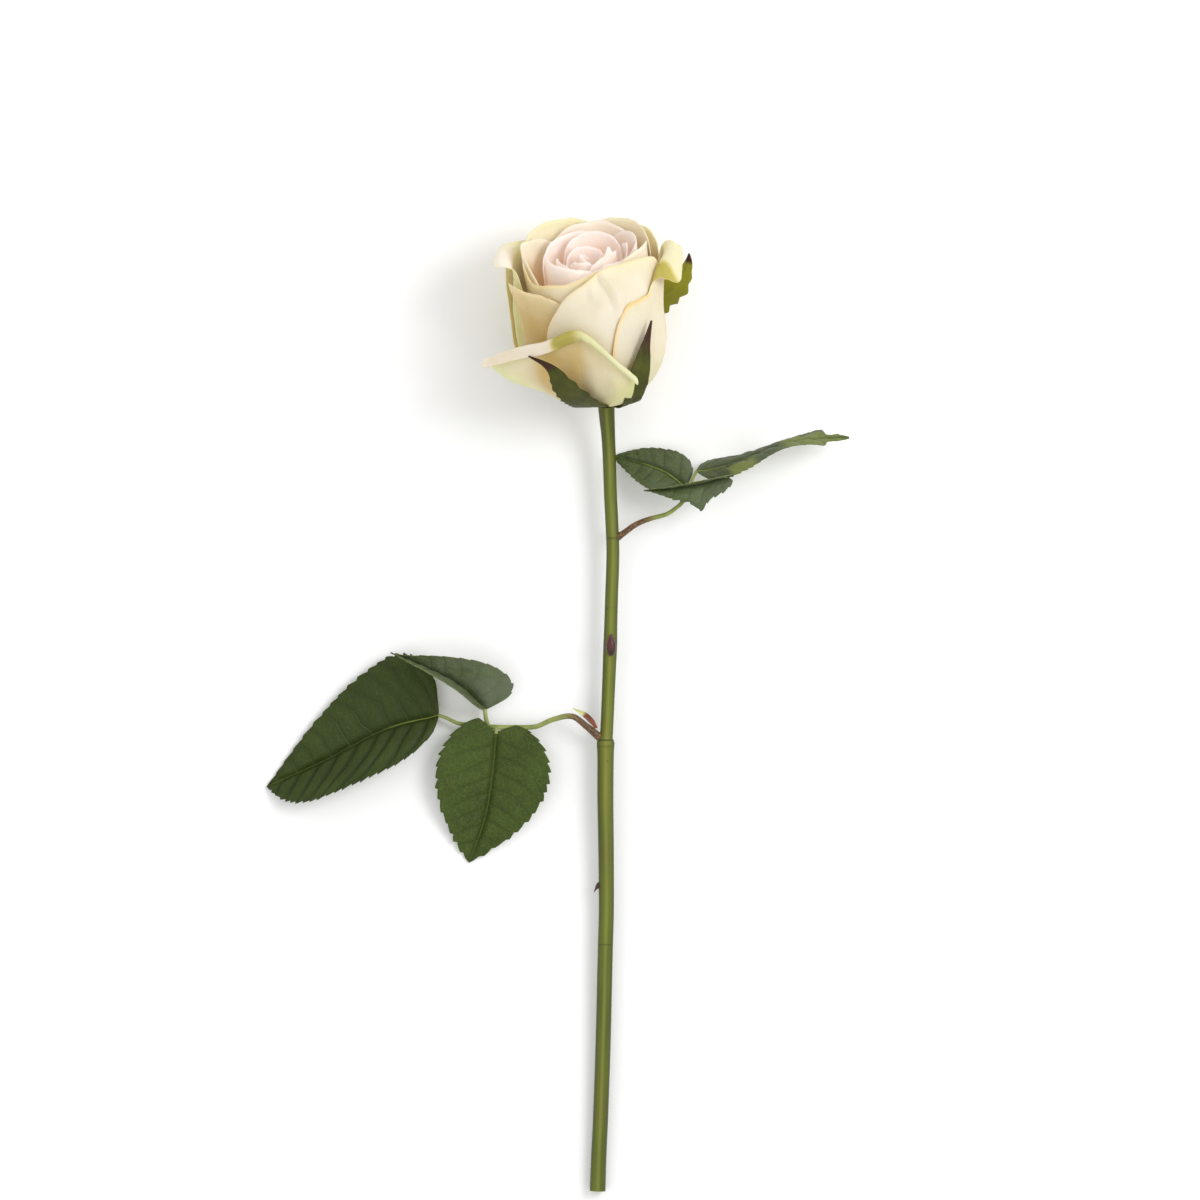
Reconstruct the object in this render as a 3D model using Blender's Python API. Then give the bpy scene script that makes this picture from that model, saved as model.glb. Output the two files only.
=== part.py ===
"""Cut rose lying on a surface: stem, two three-leaflet leaves, calyx and 25 separate petals."""

import math

import bmesh
import bpy
import numpy as np
from mathutils import Vector

MM = 0.001

# Flower head, all lengths in millimetres
HEAD_BASE = Vector((-0.4, 125.4, 20.85))
HEAD_TILT_DEG = 27.0
HEAD_LEAN_DEG = 7.0
BLOOM_RADIUS = 31.5
BASE_HEIGHT_SPREAD = 20.0
BASE_RADIUS_MIN = 1.2
BASE_RADIUS_SPREAD = 6.5
BELLY_HEIGHT = 26.0
STRAIGHT_STEPS = 3
PETAL_THICKNESS = 0.4
SEPAL_THICKNESS = 0.5
LEAF_THICKNESS = 0.5

# Where the finished rose is moved to, so its box stands centred on the origin
SHIFT = Vector((20.12, 2.73, 0.0))

# name: belly radius, centre angle (0 faces up from the surface), half angle, rim height as
# (place across, height) pairs, then optional flare, top flare and outward roll pairs
OUTER_PETALS = {
    "petal_01": dict(
        radius=32.6, turn=-29.0, half=57.0,
        rim=[(-1.0, 22.5), (-0.85, 27.0), (-0.5, 35.5), (0.0, 42.0), (0.28, 45.0),
             (0.55, 38.0), (0.8, 29.5), (1.0, 22.0)],
        flare=[(-1.0, 13.6), (-0.7, 11.0), (-0.3, 4.5), (0.1, 0.5), (1.0, 0.3)],
        roll=[(-1.0, 170.0), (-0.1, 170.0), (0.16, 95.0), (0.36, 170.0), (1.0, 200.0)],
        roll_radius=2.1,
    ),
    "petal_02": dict(
        radius=30.6, turn=63.0, half=55.0,
        rim=[(-1.0, 27.0), (-0.9, 39.0), (-0.72, 48.0), (-0.42, 53.0), (0.1, 54.5),
             (0.5, 58.5), (0.8, 60.0), (1.0, 48.0)],
        roll=[(-1.0, 0.0), (0.0, 10.0), (0.25, 110.0), (0.75, 150.0), (1.0, 80.0)],
        roll_radius=3.8,
    ),
    "petal_03": dict(
        radius=32.0, turn=-155.0, half=54.0,
        rim=[(-1.0, 34.0), (-0.85, 50.0), (-0.5, 58.0), (0.0, 60.0), (0.6, 59.0),
             (0.88, 54.0), (1.0, 40.0)],
        flare=[(-1.0, 0.0), (0.3, 0.0), (0.8, 0.8), (1.0, 1.2)],
    ),
    "petal_04": dict(radius=28.3, turn=135.0, half=58.0, tall=64.5),
    "petal_05": dict(
        radius=29.5, turn=20.0, half=66.0,
        rim=[(-1.0, 29.0), (-0.95, 40.0), (-0.72, 54.0), (-0.5, 60.0), (-0.1, 64.0),
             (0.35, 66.0), (0.75, 63.5), (1.0, 42.0)],
    ),
    "petal_06": dict(
        radius=28.3, turn=-48.0, half=46.0,
        rim=[(-1.0, 50.0), (-0.85, 57.0), (0.0, 57.5), (0.4, 55.0), (0.8, 50.0), (1.0, 42.0)],
        flare=[(-1.0, 5.0), (-0.5, 4.4), (0.1, 0.0), (1.0, 0.0)],
    ),
    "petal_07": dict(
        radius=27.2, turn=-112.0, half=46.0,
        rim=[(-1.0, 40.0), (-0.8, 57.0), (-0.3, 64.0), (0.3, 63.5), (0.7, 60.0), (1.0, 44.0)],
        roll=[(-1.0, 0.0), (-0.4, 40.0), (0.1, 130.0), (0.45, 135.0), (0.65, 20.0), (1.0, 0.0)],
        flare=[(-1.0, 0.5), (0.0, 2.6), (0.6, 3.6), (1.0, 2.5)],
        roll_radius=4.0,
    ),
    "petal_08": dict(
        radius=26.1, turn=-152.0, half=48.0, tall=67.5,
        top_flare=[(-1.0, 0.8), (-0.35, 0.8), (0.05, 0.0), (1.0, 0.0)],
    ),
    "petal_09": dict(
        radius=26.1, turn=-30.0, half=58.0,
        rim=[(-1.0, 50.0), (-0.85, 61.0), (-0.55, 59.0), (0.0, 60.5), (0.4, 62.5),
             (0.8, 63.0), (1.0, 50.0)],
    ),
    "petal_10": dict(radius=25.0, turn=140.0, half=52.0, tall=67.5),
    "petal_11": dict(radius=23.8, turn=-108.0, half=56.0, tall=64.5),
    "petal_12": dict(radius=23.8, turn=74.0, half=50.0, tall=66.0),
}

# Inner petals: belly radius, centre angle, half angle, rim height
INNER_PETALS = {
    "petal_13": (22.4, 172.0, 58.0, 66.5),
    "petal_14": (21.4, 22.0, 62.0, 65.0),
    "petal_15": (19.9, 105.0, 60.0, 66.5),
    "petal_16": (18.8, -146.0, 64.0, 66.0),
    "petal_17": (17.4, -42.0, 60.0, 64.0),
    "petal_18": (16.0, 80.0, 64.0, 66.0),
    "petal_19": (14.4, 166.0, 66.0, 66.0),
    "petal_20": (12.8, -62.0, 70.0, 65.0),
    "petal_21": (11.2, 60.0, 72.0, 66.5),
    "petal_22": (9.4, -165.0, 80.0, 66.5),
    "petal_23": (7.4, -30.0, 85.0, 65.5),
    "petal_24": (5.4, 110.0, 95.0, 66.0),
    "petal_25": (3.2, -90.0, 150.0, 66.0),
}

SEPAL_WIDTHS = [(0.0, 0.4), (0.2, 0.8), (0.45, 1.0), (0.7, 0.62), (1.0, 0.05)]

# Sepals: turn at the tip, sideways drift down to the base, height of the tip, half width,
# shell radius, then how far and from what height the tip stands away, and its twist
SEPALS = {
    "sepal_1": dict(turn=112.0, drift=0.0, height=52.0, wide=7.0, radius=33.4,
                    away=13.0, away_from=16.0, twist=58.0),
    "sepal_2": dict(turn=43.0, drift=-13.0, height=43.5, wide=5.6, radius=33.4,
                    away=0.0, away_from=20.0, twist=0.0),
    "sepal_3": dict(turn=-48.0, drift=18.0, height=30.0, wide=7.0, radius=38.8,
                    away=3.0, away_from=1.0, twist=24.0),
    "sepal_4": dict(turn=178.0, drift=0.0, height=40.0, wide=5.0, radius=33.0,
                    away=0.0, away_from=20.0, twist=0.0),
    "sepal_5": dict(turn=-116.0, drift=0.0, height=44.0, wide=5.0, radius=35.5,
                    away=0.0, away_from=20.0, twist=0.0),
}

# Stem: centre x, y, z and radius from the cut end up to the flower
STEM = [
    (-3.4, -202.8, 3.05, 2.97), (-2.9, -188.0, 3.4, 2.90), (-2.2, -173.0, 3.8, 2.87),
    (-1.1, -140.6, 4.6, 2.87), (-0.2, -101.7, 5.6, 2.87), (0.2, -86.9, 6.0, 2.87),
    (0.1, -63.5, 6.6, 2.95), (-0.2, -39.8, 7.3, 3.07), (-0.1, -22.0, 7.7, 3.15),
    (-0.1, -18.2, 7.8, 3.35), (0.0, -17.0, 7.85, 3.30), (0.0, -16.3, 7.9, 2.65),
    (0.3, -13.5, 8.0, 2.46), (1.2, 7.4, 8.5, 2.50), (1.8, 22.5, 8.9, 2.62),
    (2.0, 30.0, 9.1, 2.50), (2.3, 41.0, 9.4, 2.46), (2.9, 60.7, 9.9, 2.46),
    (2.5, 72.0, 10.2, 2.46), (1.9, 84.0, 10.6, 2.46), (1.5, 97.0, 11.6, 2.50),
    (1.0, 107.8, 13.2, 2.60), (0.5, 115.0, 16.1, 2.90), (0.15, 120.1, 18.5, 3.15),
]
STEM_SIDES = 16

LEFT_STALK = [
    (-3.85, -14.6, 8.3, 1.15), (-8.0, -11.0, 9.6, 1.0), (-13.9, -6.9, 10.4, 0.9),
    (-21.7, -8.2, 9.5, 0.8), (-28.7, -11.1, 8.0, 0.75), (-36.5, -11.5, 6.5, 0.75),
    (-46.7, -11.3, 5.0, 0.7), (-53.0, -10.6, 4.4, 0.65), (-60.7, -9.9, 4.4, 0.6),
    (-66.0, -7.6, 4.8, 0.55), (-68.5, -6.6, 5.0, 0.5),
]
LEFT_TWIGS = [
    [(-48.6, -11.2, 4.8, 0.55), (-49.4, -8.0, 4.8, 0.5), (-49.9, -4.7, 5.0, 0.45)],
    [(-45.5, -11.3, 5.2, 0.5), (-45.2, -12.3, 5.5, 0.45), (-45.1, -13.1, 5.8, 0.45)],
]
RIGHT_STALK = [
    (6.1, 67.7, 10.4, 1.1), (12.3, 72.0, 11.2, 0.95), (17.6, 74.2, 11.6, 0.85),
    (25.0, 76.3, 12.1, 0.75), (28.7, 78.7, 12.4, 0.7), (31.6, 81.4, 12.7, 0.7),
    (34.0, 86.0, 13.0, 0.65), (35.6, 90.4, 13.3, 0.55), (36.9, 93.3, 13.4, 0.5),
]
RIGHT_TWIGS = [
    [(34.2, 86.4, 13.0, 0.5), (33.9, 86.8, 13.0, 0.45), (33.7, 87.0, 13.0, 0.45)],
    [(34.2, 86.6, 13.1, 0.5), (40.0, 88.2, 15.0, 0.45), (44.9, 89.3, 17.0, 0.45)],
]

# Leaflets: midrib points, then side vectors (x, y, z) at the base, middle and tip
WIDTHS = [(0.0, 0.06), (0.05, 0.42), (0.15, 0.78), (0.28, 0.97), (0.4, 1.0), (0.58, 0.87),
          (0.75, 0.60), (0.88, 0.31), (1.0, 0.02)]
LEAFLETS = {
    "left_leaflet_end": dict(
        rib=[(-69.0, -6.6, 5.0), (-90.2, -11.9, 3.4), (-116.0, -25.0, 2.4), (-140.0, -36.1, 0.7)],
        one=[(2.9, 30.1, 0.5), (2.9, 30.1, 0.8), (2.9, 30.1, 1.5)],
        two=[(-9.3, -20.3, 10.0), (-9.3, -20.3, 12.0), (-9.3, -20.3, 8.0)],
        back=0.0,
    ),
    "left_leaflet_front": dict(
        rib=[(-45.2, -13.8, 6.0), (-46.8, -31.0, 4.2), (-49.5, -49.0, 2.4), (-54.9, -66.4, 0.7)],
        one=[(-22.8, 2.0, 3.0), (-22.8, 2.0, 4.0), (-22.0, 0.0, 2.0)],
        two=[(23.3, 0.0, 3.0), (23.3, -1.0, 4.0), (22.0, -4.0, 2.0)],
        back=5.0,
    ),
    "left_leaflet_back": dict(
        rib=[(-50.0, -4.3, 5.0), (-60.5, 6.2, 10.0), (-74.0, 13.4, 11.5), (-88.6, 19.3, 10.0)],
        one=[(13.0, 11.0, 1.0), (8.0, 13.0, 2.0), (2.0, 6.0, 4.0)],
        two=[(-1.5, -1.5, 11.0), (-1.5, -1.8, 13.0), (1.0, -3.0, 10.0)],
        back=0.0,
    ),
    "right_leaflet_end": dict(
        rib=[(37.2, 93.8, 13.4), (56.0, 99.2, 14.0), (77.0, 106.0, 14.5), (100.0, 107.8, 13.0)],
        one=[(-1.0, 5.5, -10.5), (-2.0, 4.5, -12.5), (-4.0, 4.5, -11.0)],
        two=[(6.0, -8.0, 2.0), (2.0, -6.0, 9.0), (-1.0, -1.0, 12.0)],
        back=0.0,
    ),
    "right_leaflet_inner": dict(
        rib=[(33.2, 87.5, 12.9), (25.0, 94.4, 10.6), (14.0, 98.2, 7.8), (1.0, 99.0, 5.0)],
        one=[(6.5, 9.5, -4.0), (3.0, 8.0, -5.0), (-1.0, 5.0, -4.0)],
        two=[(-7.0, -7.0, 5.0), (-4.0, -8.0, 6.0), (-2.0, -4.0, 4.0)],
        back=0.0,
    ),
    "right_leaflet_front": dict(
        rib=[(46.0, 89.6, 17.8), (36.5, 87.8, 20.5), (26.0, 86.5, 20.5), (15.8, 85.9, 18.0)],
        one=[(4.0, 1.6, 7.0), (1.0, 1.2, 7.0), (0.0, 0.6, 6.0)],
        two=[(3.0, -6.5, 9.0), (1.0, -8.5, 10.0), (0.0, -3.0, 8.0)],
        back=2.0,
    ),
}


def through(knots, x):
    """A smooth curve through (place, value) pairs, flat outside them."""
    places = [k[0] for k in knots]
    values = [k[1] for k in knots]
    if x <= places[0]:
        return values[0]
    if x >= places[-1]:
        return values[-1]
    last = len(knots) - 1
    i = max(j for j in range(last) if places[j] <= x)
    gap = places[i + 1] - places[i]
    before = max(i - 1, 0)
    after = min(i + 2, last)
    rise_a = (values[i + 1] - values[before]) / (places[i + 1] - places[before])
    rise_b = (values[after] - values[i]) / (places[after] - places[i])
    u = (x - places[i]) / gap
    start = (1 + 2 * u) * (1 - u) ** 2 * values[i] + u * (1 - u) ** 2 * gap * rise_a
    end = u * u * (3 - 2 * u) * values[i + 1] + u * u * (u - 1) * gap * rise_b
    return start + end


def ease(x):
    x = min(max(x, 0.0), 1.0)
    return x * x * (3 - 2 * x)


def angle_gap(a, b):
    """Smallest turn between two angles, in degrees."""
    return abs((a - b + 180.0) % 360.0 - 180.0)


def head_axes():
    tilt = math.radians(HEAD_TILT_DEG)
    lean = math.radians(HEAD_LEAN_DEG)
    up = Vector((-math.sin(lean) * math.cos(tilt), math.cos(lean) * math.cos(tilt), math.sin(tilt)))
    front = Vector((math.sin(lean) * math.sin(tilt), -math.cos(lean) * math.sin(tilt), math.cos(tilt)))
    right = Vector((math.cos(lean), math.sin(lean), 0.0))
    return right, front, up


def in_head(radius, turn_deg, height):
    """World place of a point given around the flower's own axis."""
    right, front, up = head_axes()
    turn = math.radians(turn_deg)
    across = right * (radius * math.sin(turn)) + front * (radius * math.cos(turn))
    return HEAD_BASE + across + up * height


def gathered(radius, turn_deg, height):
    """Petal tops lean in at the front right and out a little at the back."""
    high = ease((height - 42.0) / 25.0)
    front = math.exp(-((angle_gap(turn_deg, 24.0) / 42.0) ** 2))
    back = math.exp(-((angle_gap(turn_deg, 180.0) / 75.0) ** 2))
    return radius * (1.0 + high * (0.12 * back - 0.33 * front))


def meridian(radius, layer_radius, top, steps):
    """Profile of a cup shell from its base round the belly and straight up to its top."""
    share = min(layer_radius / BLOOM_RADIUS, 1.0)
    base_h = 1.0 + BASE_HEIGHT_SPREAD * (1.0 - share)
    base_r = BASE_RADIUS_MIN + BASE_RADIUS_SPREAD * share
    belly_h = base_h + BELLY_HEIGHT
    round_steps = steps
    end_lift = 90.0
    if top > belly_h + 2.0:
        round_steps = steps - STRAIGHT_STEPS
    else:
        end_lift = math.degrees(math.acos(1.0 - (min(top, belly_h) - base_h) / BELLY_HEIGHT))
    path = []
    for k in range(round_steps):
        lift = math.radians(end_lift * k / (round_steps - 1))
        r = base_r + (radius - base_r) * math.sin(lift)
        path.append((r, base_h + BELLY_HEIGHT * (1.0 - math.cos(lift))))
    for k in range(steps - round_steps):
        up = (k + 1) / STRAIGHT_STEPS
        path.append((radius, belly_h + (top - belly_h) * up))
    return path


def default_rim(tall):
    return [(-1.0, tall - 26.0), (-0.86, tall - 10.0), (-0.55, tall - 2.5), (0.0, tall),
            (0.55, tall - 2.5), (0.86, tall - 10.0), (1.0, tall - 26.0)]


def petal_grid(shape, across, along):
    """Rows of world points over one petal, base first."""
    rim = shape.get("rim") or default_rim(shape["tall"])
    flare = shape.get("flare", [(-1.0, 0.0), (1.0, 0.0)])
    top_flare = shape.get("top_flare", [(-1.0, 0.0), (1.0, 0.0)])
    roll = shape.get("roll")
    curl = shape.get("roll_radius", 2.0)
    curl_rows = 4 if roll else 0
    columns = []
    for j in range(across):
        s = math.sin(math.radians(75.0) * (2.0 * j / (across - 1) - 1.0)) / math.sin(math.radians(75.0))
        angle = through(roll, s) if roll else 0.0
        crest = curl * math.sin(math.radians(min(angle, 90.0)))
        rim_h = through(rim, s) - crest
        path = meridian(shape["radius"] + through(flare, s), shape["radius"], rim_h, along)
        end_r, end_h = path[-1]
        for k in range(curl_rows):
            a = math.radians(max(angle, 4.0)) * (k + 1) / curl_rows
            path.append((end_r + curl * (1.0 - math.cos(a)), end_h + curl * math.sin(a)))
        column = []
        for i, (r, h) in enumerate(path):
            narrow = 0.6 + 0.4 * ease(i / (0.5 * along))
            turn = shape["turn"] + shape["half"] * s * narrow
            r = gathered(r, turn, h) + through(top_flare, s) * ease((h - 40.0) / 18.0)
            column.append(in_head(r, turn, h))
        columns.append(column)
    rows = len(columns[0])
    return [[columns[j][i] for j in range(across)] for i in range(rows)]


def sepal_grid(shape, across, along):
    """Rows of world points over one sepal, lying on the petals and leaving them at its tip."""
    radius = shape["radius"]
    base_r = 5.9
    base_h = -1.2
    path = []
    for k in range(41):
        lift = math.radians(90.0 * k / 40)
        path.append((base_r + (radius - base_r) * math.sin(lift), base_h + 27.0 * (1 - math.cos(lift))))
    if shape["height"] > path[-1][1]:
        path.append((radius, shape["height"]))
    else:
        path = [p for p in path if p[1] <= shape["height"]]
    path = np.array(path)
    lengths = np.concatenate([[0.0], np.cumsum(np.linalg.norm(np.diff(path, axis=0), axis=1))])
    grid = []
    for i in range(along):
        t = i / (along - 1)
        r = float(np.interp(t * lengths[-1], lengths, path[:, 0]))
        h = float(np.interp(t * lengths[-1], lengths, path[:, 1]))
        r += shape["away"] * ease((h - shape["away_from"]) / (shape["height"] - shape["away_from"]))
        half = shape["wide"] * through(SEPAL_WIDTHS, t)
        middle = shape["turn"] + shape["drift"] * (1.0 - t) ** 1.5
        twist = math.radians(shape["twist"] * ease((t - 0.45) / 0.3))
        row = []
        for j in range(across):
            s = 2.0 * j / (across - 1) - 1.0
            turn = middle + math.degrees(half * s * math.cos(twist) / r)
            row.append(in_head(r - half * s * math.sin(twist), turn, h))
        grid.append(row)
    return grid


def bent(points, t):
    """Smooth path through 3-D points placed evenly from 0 to 1."""
    last = len(points) - 1
    return Vector([through([(i / last, p[axis]) for i, p in enumerate(points)], t) for axis in range(3)])


def leaflet_grid(shape, across, along):
    """Rows of world points over one leaflet, folded along its midrib."""
    grid = []
    for i in range(along):
        t = i / (along - 1)
        rib = bent(shape["rib"], t)
        toward = (bent(shape["rib"], min(t + 0.02, 1.0)) - bent(shape["rib"], max(t - 0.02, 0.0))).normalized()
        wide = through(WIDTHS, t)
        row = []
        for j in range(across):
            s = 2.0 * j / (across - 1) - 1.0
            side = bent(shape["one"], t) if s < 0 else bent(shape["two"], t)
            sweep = shape["back"] * (1.0 - t) ** 3 * abs(s) ** 1.2 * min(1.0, 3.0 * wide)
            row.append(rib + side * (abs(s) * wide) - toward * sweep)
        grid.append(row)
    return grid


def face_outward(mesh):
    """Splits the faces into triangles and turns them all outward."""
    work = bmesh.new()
    work.from_mesh(mesh)
    bmesh.ops.triangulate(work, faces=work.faces)
    bmesh.ops.recalc_face_normals(work, faces=work.faces)
    if work.calc_volume(signed=True) < 0:
        bmesh.ops.reverse_faces(work, faces=work.faces)
    work.to_mesh(mesh)
    work.free()


def make_object(name, points, faces, material):
    mesh = bpy.data.meshes.new(name)
    mesh.from_pydata([tuple((Vector(p) + SHIFT) * MM) for p in points], [], faces)
    mesh.validate()
    face_outward(mesh)
    mesh.materials.append(material)
    obj = bpy.data.objects.new(name, mesh)
    bpy.context.scene.collection.objects.link(obj)
    return obj


def sheet(name, grid, thickness, material):
    """A thin closed body of even thickness around a grid of points."""
    rows = len(grid)
    across = len(grid[0])
    front = []
    back = []
    for i in range(rows):
        for j in range(across):
            down = grid[min(i + 1, rows - 1)][j] - grid[max(i - 1, 0)][j]
            side = grid[i][min(j + 1, across - 1)] - grid[i][max(j - 1, 0)]
            normal = down.cross(side).normalized()
            front.append(grid[i][j] + normal * (thickness / 2))
            back.append(grid[i][j] - normal * (thickness / 2))
    count = rows * across
    faces = []
    for i in range(rows - 1):
        for j in range(across - 1):
            a = i * across + j
            faces.append((a, a + 1, a + across + 1, a + across))
            faces.append((count + a, count + a + across, count + a + across + 1, count + a + 1))
    edge = [j for j in range(across)]
    edge += [i * across + across - 1 for i in range(1, rows)]
    edge += [(rows - 1) * across + j for j in range(across - 2, -1, -1)]
    edge += [i * across for i in range(rows - 2, 0, -1)]
    for k, a in enumerate(edge):
        b = edge[(k + 1) % len(edge)]
        faces.append((b, a, count + a, count + b))
    return make_object(name, front + back, faces, material)


def tube(name, stations, sides, material):
    """A round closed tube through (x, y, z, radius) stations."""
    centres = [Vector(p[:3]) for p in stations]
    points = []
    side = Vector((1.0, 0.0, 0.0))
    for i, centre in enumerate(centres):
        ahead = centres[min(i + 1, len(centres) - 1)] - centres[max(i - 1, 0)]
        ahead.normalize()
        side = (side - ahead * side.dot(ahead)).normalized()
        other = ahead.cross(side)
        for k in range(sides):
            a = 2 * math.pi * k / sides
            points.append(centre + (side * math.cos(a) + other * math.sin(a)) * stations[i][3])
    faces = []
    for i in range(len(centres) - 1):
        for k in range(sides):
            a = i * sides + k
            b = i * sides + (k + 1) % sides
            faces.append((a, b, b + sides, a + sides))
    faces.append(tuple(range(sides)))
    start = (len(centres) - 1) * sides
    faces.append(tuple(start + k for k in reversed(range(sides))))
    return make_object(name, points, faces, material)


def joined(base, twigs, material):
    """Unites branch tubes with a main tube into one closed body."""
    for k, stations in enumerate(twigs):
        twig = tube(f"{base.name}_twig", stations, 8, material)
        cut = base.modifiers.new(f"twig_{k}", "BOOLEAN")
        cut.operation = "UNION"
        cut.solver = "EXACT"
        cut.object = twig
        bpy.context.view_layer.update()
        evaluated = base.evaluated_get(bpy.context.evaluated_depsgraph_get())
        mesh = bpy.data.meshes.new_from_object(evaluated)
        base.modifiers.clear()
        base.data = mesh
        bpy.data.objects.remove(twig)
    face_outward(base.data)
    return base


def lathe(name, profile, sides, material):
    """A solid turned about the flower's axis from (radius, height) pairs, pole to pole."""
    points = [in_head(0.0, 0.0, profile[0][1])]
    for radius, height in profile[1:-1]:
        points += [in_head(radius, 360.0 * k / sides, height) for k in range(sides)]
    points.append(in_head(0.0, 0.0, profile[-1][1]))
    faces = []
    rings = len(profile) - 2
    for k in range(sides):
        n = (k + 1) % sides
        faces.append((0, 1 + n, 1 + k))
        for i in range(rings - 1):
            a = 1 + i * sides
            faces.append((a + k, a + n, a + sides + n, a + sides + k))
        a = 1 + (rings - 1) * sides
        faces.append((a + k, a + n, len(points) - 1))
    return make_object(name, points, faces, material)


def plain_material(name, colour, roughness):
    material = bpy.data.materials.new(name)
    material.use_nodes = True
    shader = next(n for n in material.node_tree.nodes if n.type == "BSDF_PRINCIPLED")
    shader.inputs["Base Color"].default_value = (*colour, 1.0)
    shader.inputs["Roughness"].default_value = roughness
    material.diffuse_color = (*colour, 1.0)
    return material


def small_oval(name, centre, reach, material, sides=8, rings=5):
    """A closed oval whose three half axes are given as vectors."""
    long_axis, wide_axis, deep_axis = (Vector(a) for a in reach)
    centre = Vector(centre)
    points = [centre - long_axis]
    for i in range(1, rings):
        a = math.pi * i / rings - math.pi / 2
        for k in range(sides):
            b = 2 * math.pi * k / sides
            around = wide_axis * math.cos(b) + deep_axis * math.sin(b)
            points.append(centre + long_axis * math.sin(a) + around * math.cos(a))
    points.append(centre + long_axis)
    faces = []
    for k in range(sides):
        n = (k + 1) % sides
        faces.append((0, 1 + n, 1 + k))
        for i in range(rings - 2):
            a = 1 + i * sides
            faces.append((a + k, a + n, a + sides + n, a + sides + k))
        a = 1 + (rings - 2) * sides
        faces.append((a + k, a + n, len(points) - 1))
    return make_object(name, points, faces, material)


def build():
    for obj in list(bpy.data.objects):
        bpy.data.objects.remove(obj)
    stem_green = plain_material("stem_green", (0.16, 0.19, 0.03), 0.5)
    leaf_green = plain_material("leaf_green", (0.05, 0.09, 0.02), 0.6)
    sepal_green = plain_material("sepal_green", (0.08, 0.12, 0.02), 0.6)
    petal_cream = plain_material("petal_cream", (0.82, 0.70, 0.50), 0.7)
    bud_brown = plain_material("bud_brown", (0.10, 0.03, 0.02), 0.5)

    tube("stem", STEM, STEM_SIDES, stem_green)
    thorn = [(-3.5, -77.2, 6.3, 0.9), (-3.9, -77.7, 6.3, 0.6), (-4.4, -78.5, 6.3, 0.3), (-5.0, -79.5, 6.2, 0.1)]
    tube("thorn", thorn, 8, bud_brown)
    bud_reach = ((-0.1, 4.3, 0.3), (1.9, 0.0, 0.0), (0.0, 0.0, 1.0))
    small_oval("axillary_bud", (2.0, 22.5, 12.85), bud_reach, bud_brown)

    joined(tube("left_leaf_stalk", LEFT_STALK, 8, stem_green), LEFT_TWIGS, stem_green)
    joined(tube("right_leaf_stalk", RIGHT_STALK, 8, stem_green), RIGHT_TWIGS, stem_green)
    stipule = [
        [Vector((-4.6, -12.0, 9.9)), Vector((-3.5, -11.6, 10.7))],
        [Vector((-6.6, -9.6, 10.9)), Vector((-5.0, -8.3, 11.6))],
        [Vector((-9.4, -7.0, 11.7)), Vector((-7.9, -5.6, 12.3))],
        [Vector((-11.6, -5.2, 12.2)), Vector((-10.9, -4.3, 12.5))],
        [Vector((-13.7, -3.6, 12.5)), Vector((-13.4, -3.4, 12.6))],
    ]
    sheet("left_stipule", stipule, 0.5, stem_green)
    for name, shape in LEAFLETS.items():
        sheet(name, leaflet_grid(shape, 7, 10), LEAF_THICKNESS, leaf_green)

    profile = [(0.0, -4.8), (2.9, -4.8), (3.6, -4.0), (4.6, -2.6), (5.1, -1.4), (6.7, 0.4),
               (5.2, 5.5), (3.6, 10.6), (2.0, 15.7), (0.7, 19.6), (0.0, 20.0)]
    lathe("receptacle", profile, 14, sepal_green)
    for name, shape in SEPALS.items():
        sheet(name, sepal_grid(shape, 4, 9), SEPAL_THICKNESS, sepal_green)
    for name, shape in OUTER_PETALS.items():
        sheet(name, petal_grid(shape, 11, 11), PETAL_THICKNESS, petal_cream)
    for name, (radius, turn, half, tall) in INNER_PETALS.items():
        shape = dict(radius=radius, turn=turn, half=half, tall=tall)
        sheet(name, petal_grid(shape, 8, 8), PETAL_THICKNESS, petal_cream)


build()
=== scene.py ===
import math

import bpy
import numpy as np
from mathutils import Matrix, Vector, noise


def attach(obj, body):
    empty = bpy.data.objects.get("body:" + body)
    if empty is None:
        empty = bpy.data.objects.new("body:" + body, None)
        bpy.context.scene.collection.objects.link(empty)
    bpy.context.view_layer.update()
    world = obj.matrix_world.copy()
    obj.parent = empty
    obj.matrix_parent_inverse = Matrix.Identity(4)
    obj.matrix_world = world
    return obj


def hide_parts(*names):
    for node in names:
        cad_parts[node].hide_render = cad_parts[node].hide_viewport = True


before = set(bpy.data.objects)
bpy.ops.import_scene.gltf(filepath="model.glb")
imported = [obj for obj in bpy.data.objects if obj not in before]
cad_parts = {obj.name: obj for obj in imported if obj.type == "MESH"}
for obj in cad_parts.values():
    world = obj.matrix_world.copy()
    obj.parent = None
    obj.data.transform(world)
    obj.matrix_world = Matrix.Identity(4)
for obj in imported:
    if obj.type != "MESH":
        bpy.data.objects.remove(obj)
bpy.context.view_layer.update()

MM = 0.001
SHIFT = np.array([20.12, 2.73, 0.0])  # puts the middle of the whole flower's box at the origin

# The flower head's own axes, in millimetres, as the CAD model has them
HEAD_BASE = np.array([-0.4, 125.4, 20.85])
TILT = math.radians(27.0)
LEAN = math.radians(7.0)
HEAD_UP = np.array([-math.sin(LEAN) * math.cos(TILT), math.cos(LEAN) * math.cos(TILT), math.sin(TILT)])
HEAD_FRONT = np.array([math.sin(LEAN) * math.sin(TILT), -math.cos(LEAN) * math.sin(TILT), math.cos(TILT)])
HEAD_RIGHT = np.array([math.cos(LEAN), math.sin(LEAN), 0.0])
BLOOM_RADIUS = 31.5
BELLY_HEIGHT = 26.0
SEAT_RADIUS = 5.9

PETAL_THICK = 0.26
SEPAL_THICK = 0.35
LEAF_THICK = 0.32
STIPULE_THICK = 0.3
SURFACE_GAP = 0.25  # lowest middle height of a leaf or sepal that lies on the surface


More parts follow.
